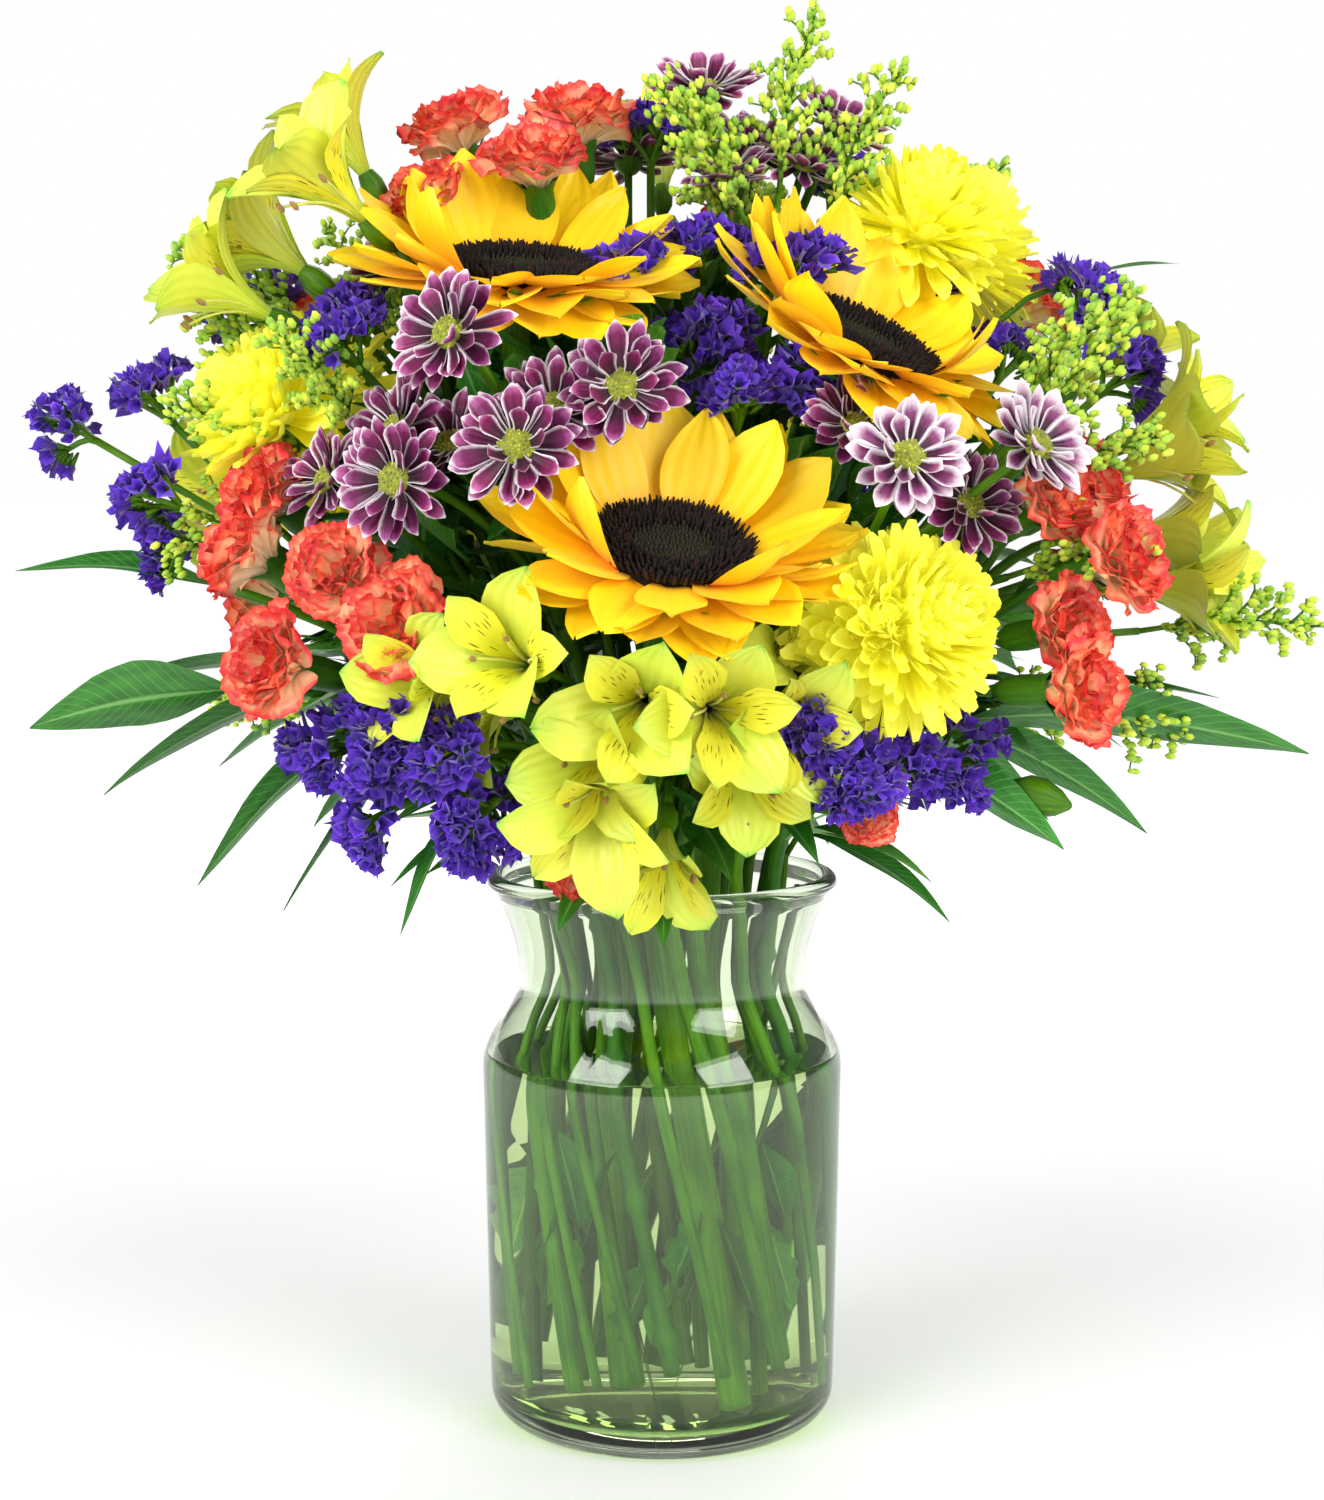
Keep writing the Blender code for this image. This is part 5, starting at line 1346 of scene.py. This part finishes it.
# the water climbs the wall a little at its edge, and its skin lies just inside the glass
wet_radius = inner_radius(WATER_LEVEL)
surface = [(0, WATER_LEVEL), (wet_radius - 3.5, WATER_LEVEL), (wet_radius - 1.2, WATER_LEVEL + 0.4)]
surface.append((wet_radius + 0.3, WATER_LEVEL + 1.3))
wet = [z for z in walls if z < WATER_LEVEL - 1.5]
water = surface + [(inner_radius(z) + 0.3, z) for z in reversed(wet)] + [(r, z - 0.3) for r, z in reversed(punt)]
lathe("water", water, 96, WATER, ["water"])


# ------------------------------------------------------------------ set, light and camera

def staged_floor():
    """A pale matt table with a painted glow that is nothing near the vase and grows with distance, so that it fades
    into the white backdrop.
    """
    bpy.ops.mesh.primitive_circle_add(vertices=96, radius=30, fill_type="NGON")
    floor = bpy.context.active_object
    floor.name = "studio_floor"
    material, tree, shader = new_material("pale_matt_table", 0.9, Specular_IOR_Level=0.2)
    shader.inputs["Base Color"].default_value = paint("#E8E8E8")
    where = node(tree, "ShaderNodeTexCoord").outputs["Object"]
    far = node(tree, "ShaderNodeVectorMath", {"operation": "LENGTH"}, i0=where).outputs["Value"]
    # painted glow: the floor emits white, from nothing at 0.3 m from the middle up to half strength at 1.3 m and
    # beyond
    glow = node(tree, "ShaderNodeMapRange", {1: 0.3, 2: 1.3, 3: 0.0, 4: 0.5}, i0=far).outputs[0]
    shader.inputs["Emission Color"].default_value = WHITE
    tree.links.new(glow, shader.inputs["Emission Strength"])
    floor.data.materials.append(material)


staged_floor()


def soft_light(name, place, aim, width, height, power):
    """A rectangular softbox that points at a place."""
    bpy.ops.object.light_add(type="AREA", location=place)
    light = bpy.context.active_object
    light.name = name
    light.data.shape = "RECTANGLE"
    light.data.size, light.data.size_y = width, height
    light.data.energy = power
    way = Vector(aim) - Vector(place)
    light.rotation_euler = way.to_track_quat("-Z", "Y").to_euler()


soft_light("key_softbox", (-1.25, -1.25, 1.15), (0, 0, 0.22), 1.2, 1.1, 30)
soft_light("fill_softbox", (1.25, -1.25, 1.1), (0, 0, 0.22), 1.1, 1.1, 24)
soft_light("back_softbox", (0.3, 1.6, 1.5), (0, 0, 0.3), 1.4, 0.8, 14)

ROOM_LIGHT, BACKDROP, MIRRORED_ROOM = 0.66, 1.0, 0.2  # strengths of white


def studio_world():
    """A white room. It lights softly, shows as a white backdrop, also through glass, and shiny surfaces mirror
    a darker one, as they do under studio lamps."""
    world = bpy.data.worlds.new("white_studio")
    bpy.context.scene.world = world
    world.use_nodes = True
    tree = world.node_tree
    tree.nodes["Background"].inputs["Color"].default_value = WHITE
    tree.nodes["Background"].inputs["Strength"].default_value = ROOM_LIGHT
    shown = tree.nodes["Background"].outputs["Background"]
    rays = node(tree, "ShaderNodeLightPath").outputs
    straight, through = rays["Is Camera Ray"], rays["Is Transmission Ray"]
    seen = node(tree, "ShaderNodeMath", {"operation": "MAXIMUM"}, i0=straight, i1=through).outputs[0]
    for share, strength in ((seen, BACKDROP), (rays["Is Glossy Ray"], MIRRORED_ROOM)):
        light = node(tree, "ShaderNodeBackground", {"Color": WHITE, "Strength": strength}).outputs["Background"]
        shown = node(tree, "ShaderNodeMixShader", {}, Fac=share, i1=shown, i2=light).outputs["Shader"]
    tree.links.new(shown, tree.nodes["World Output"].inputs["Surface"])


studio_world()

bpy.ops.object.camera_add(location=(0, -0.93, 0.335))
camera = bpy.context.active_object
camera.name = "main_camera"
aim = Vector((0, 0, 0.2375)) - camera.location
camera.rotation_euler = aim.to_track_quat("-Z", "Y").to_euler()
camera.data.lens = 64
camera.data.sensor_width = 36
bpy.context.scene.camera = camera
bpy.context.scene.view_settings.view_transform = "Standard"
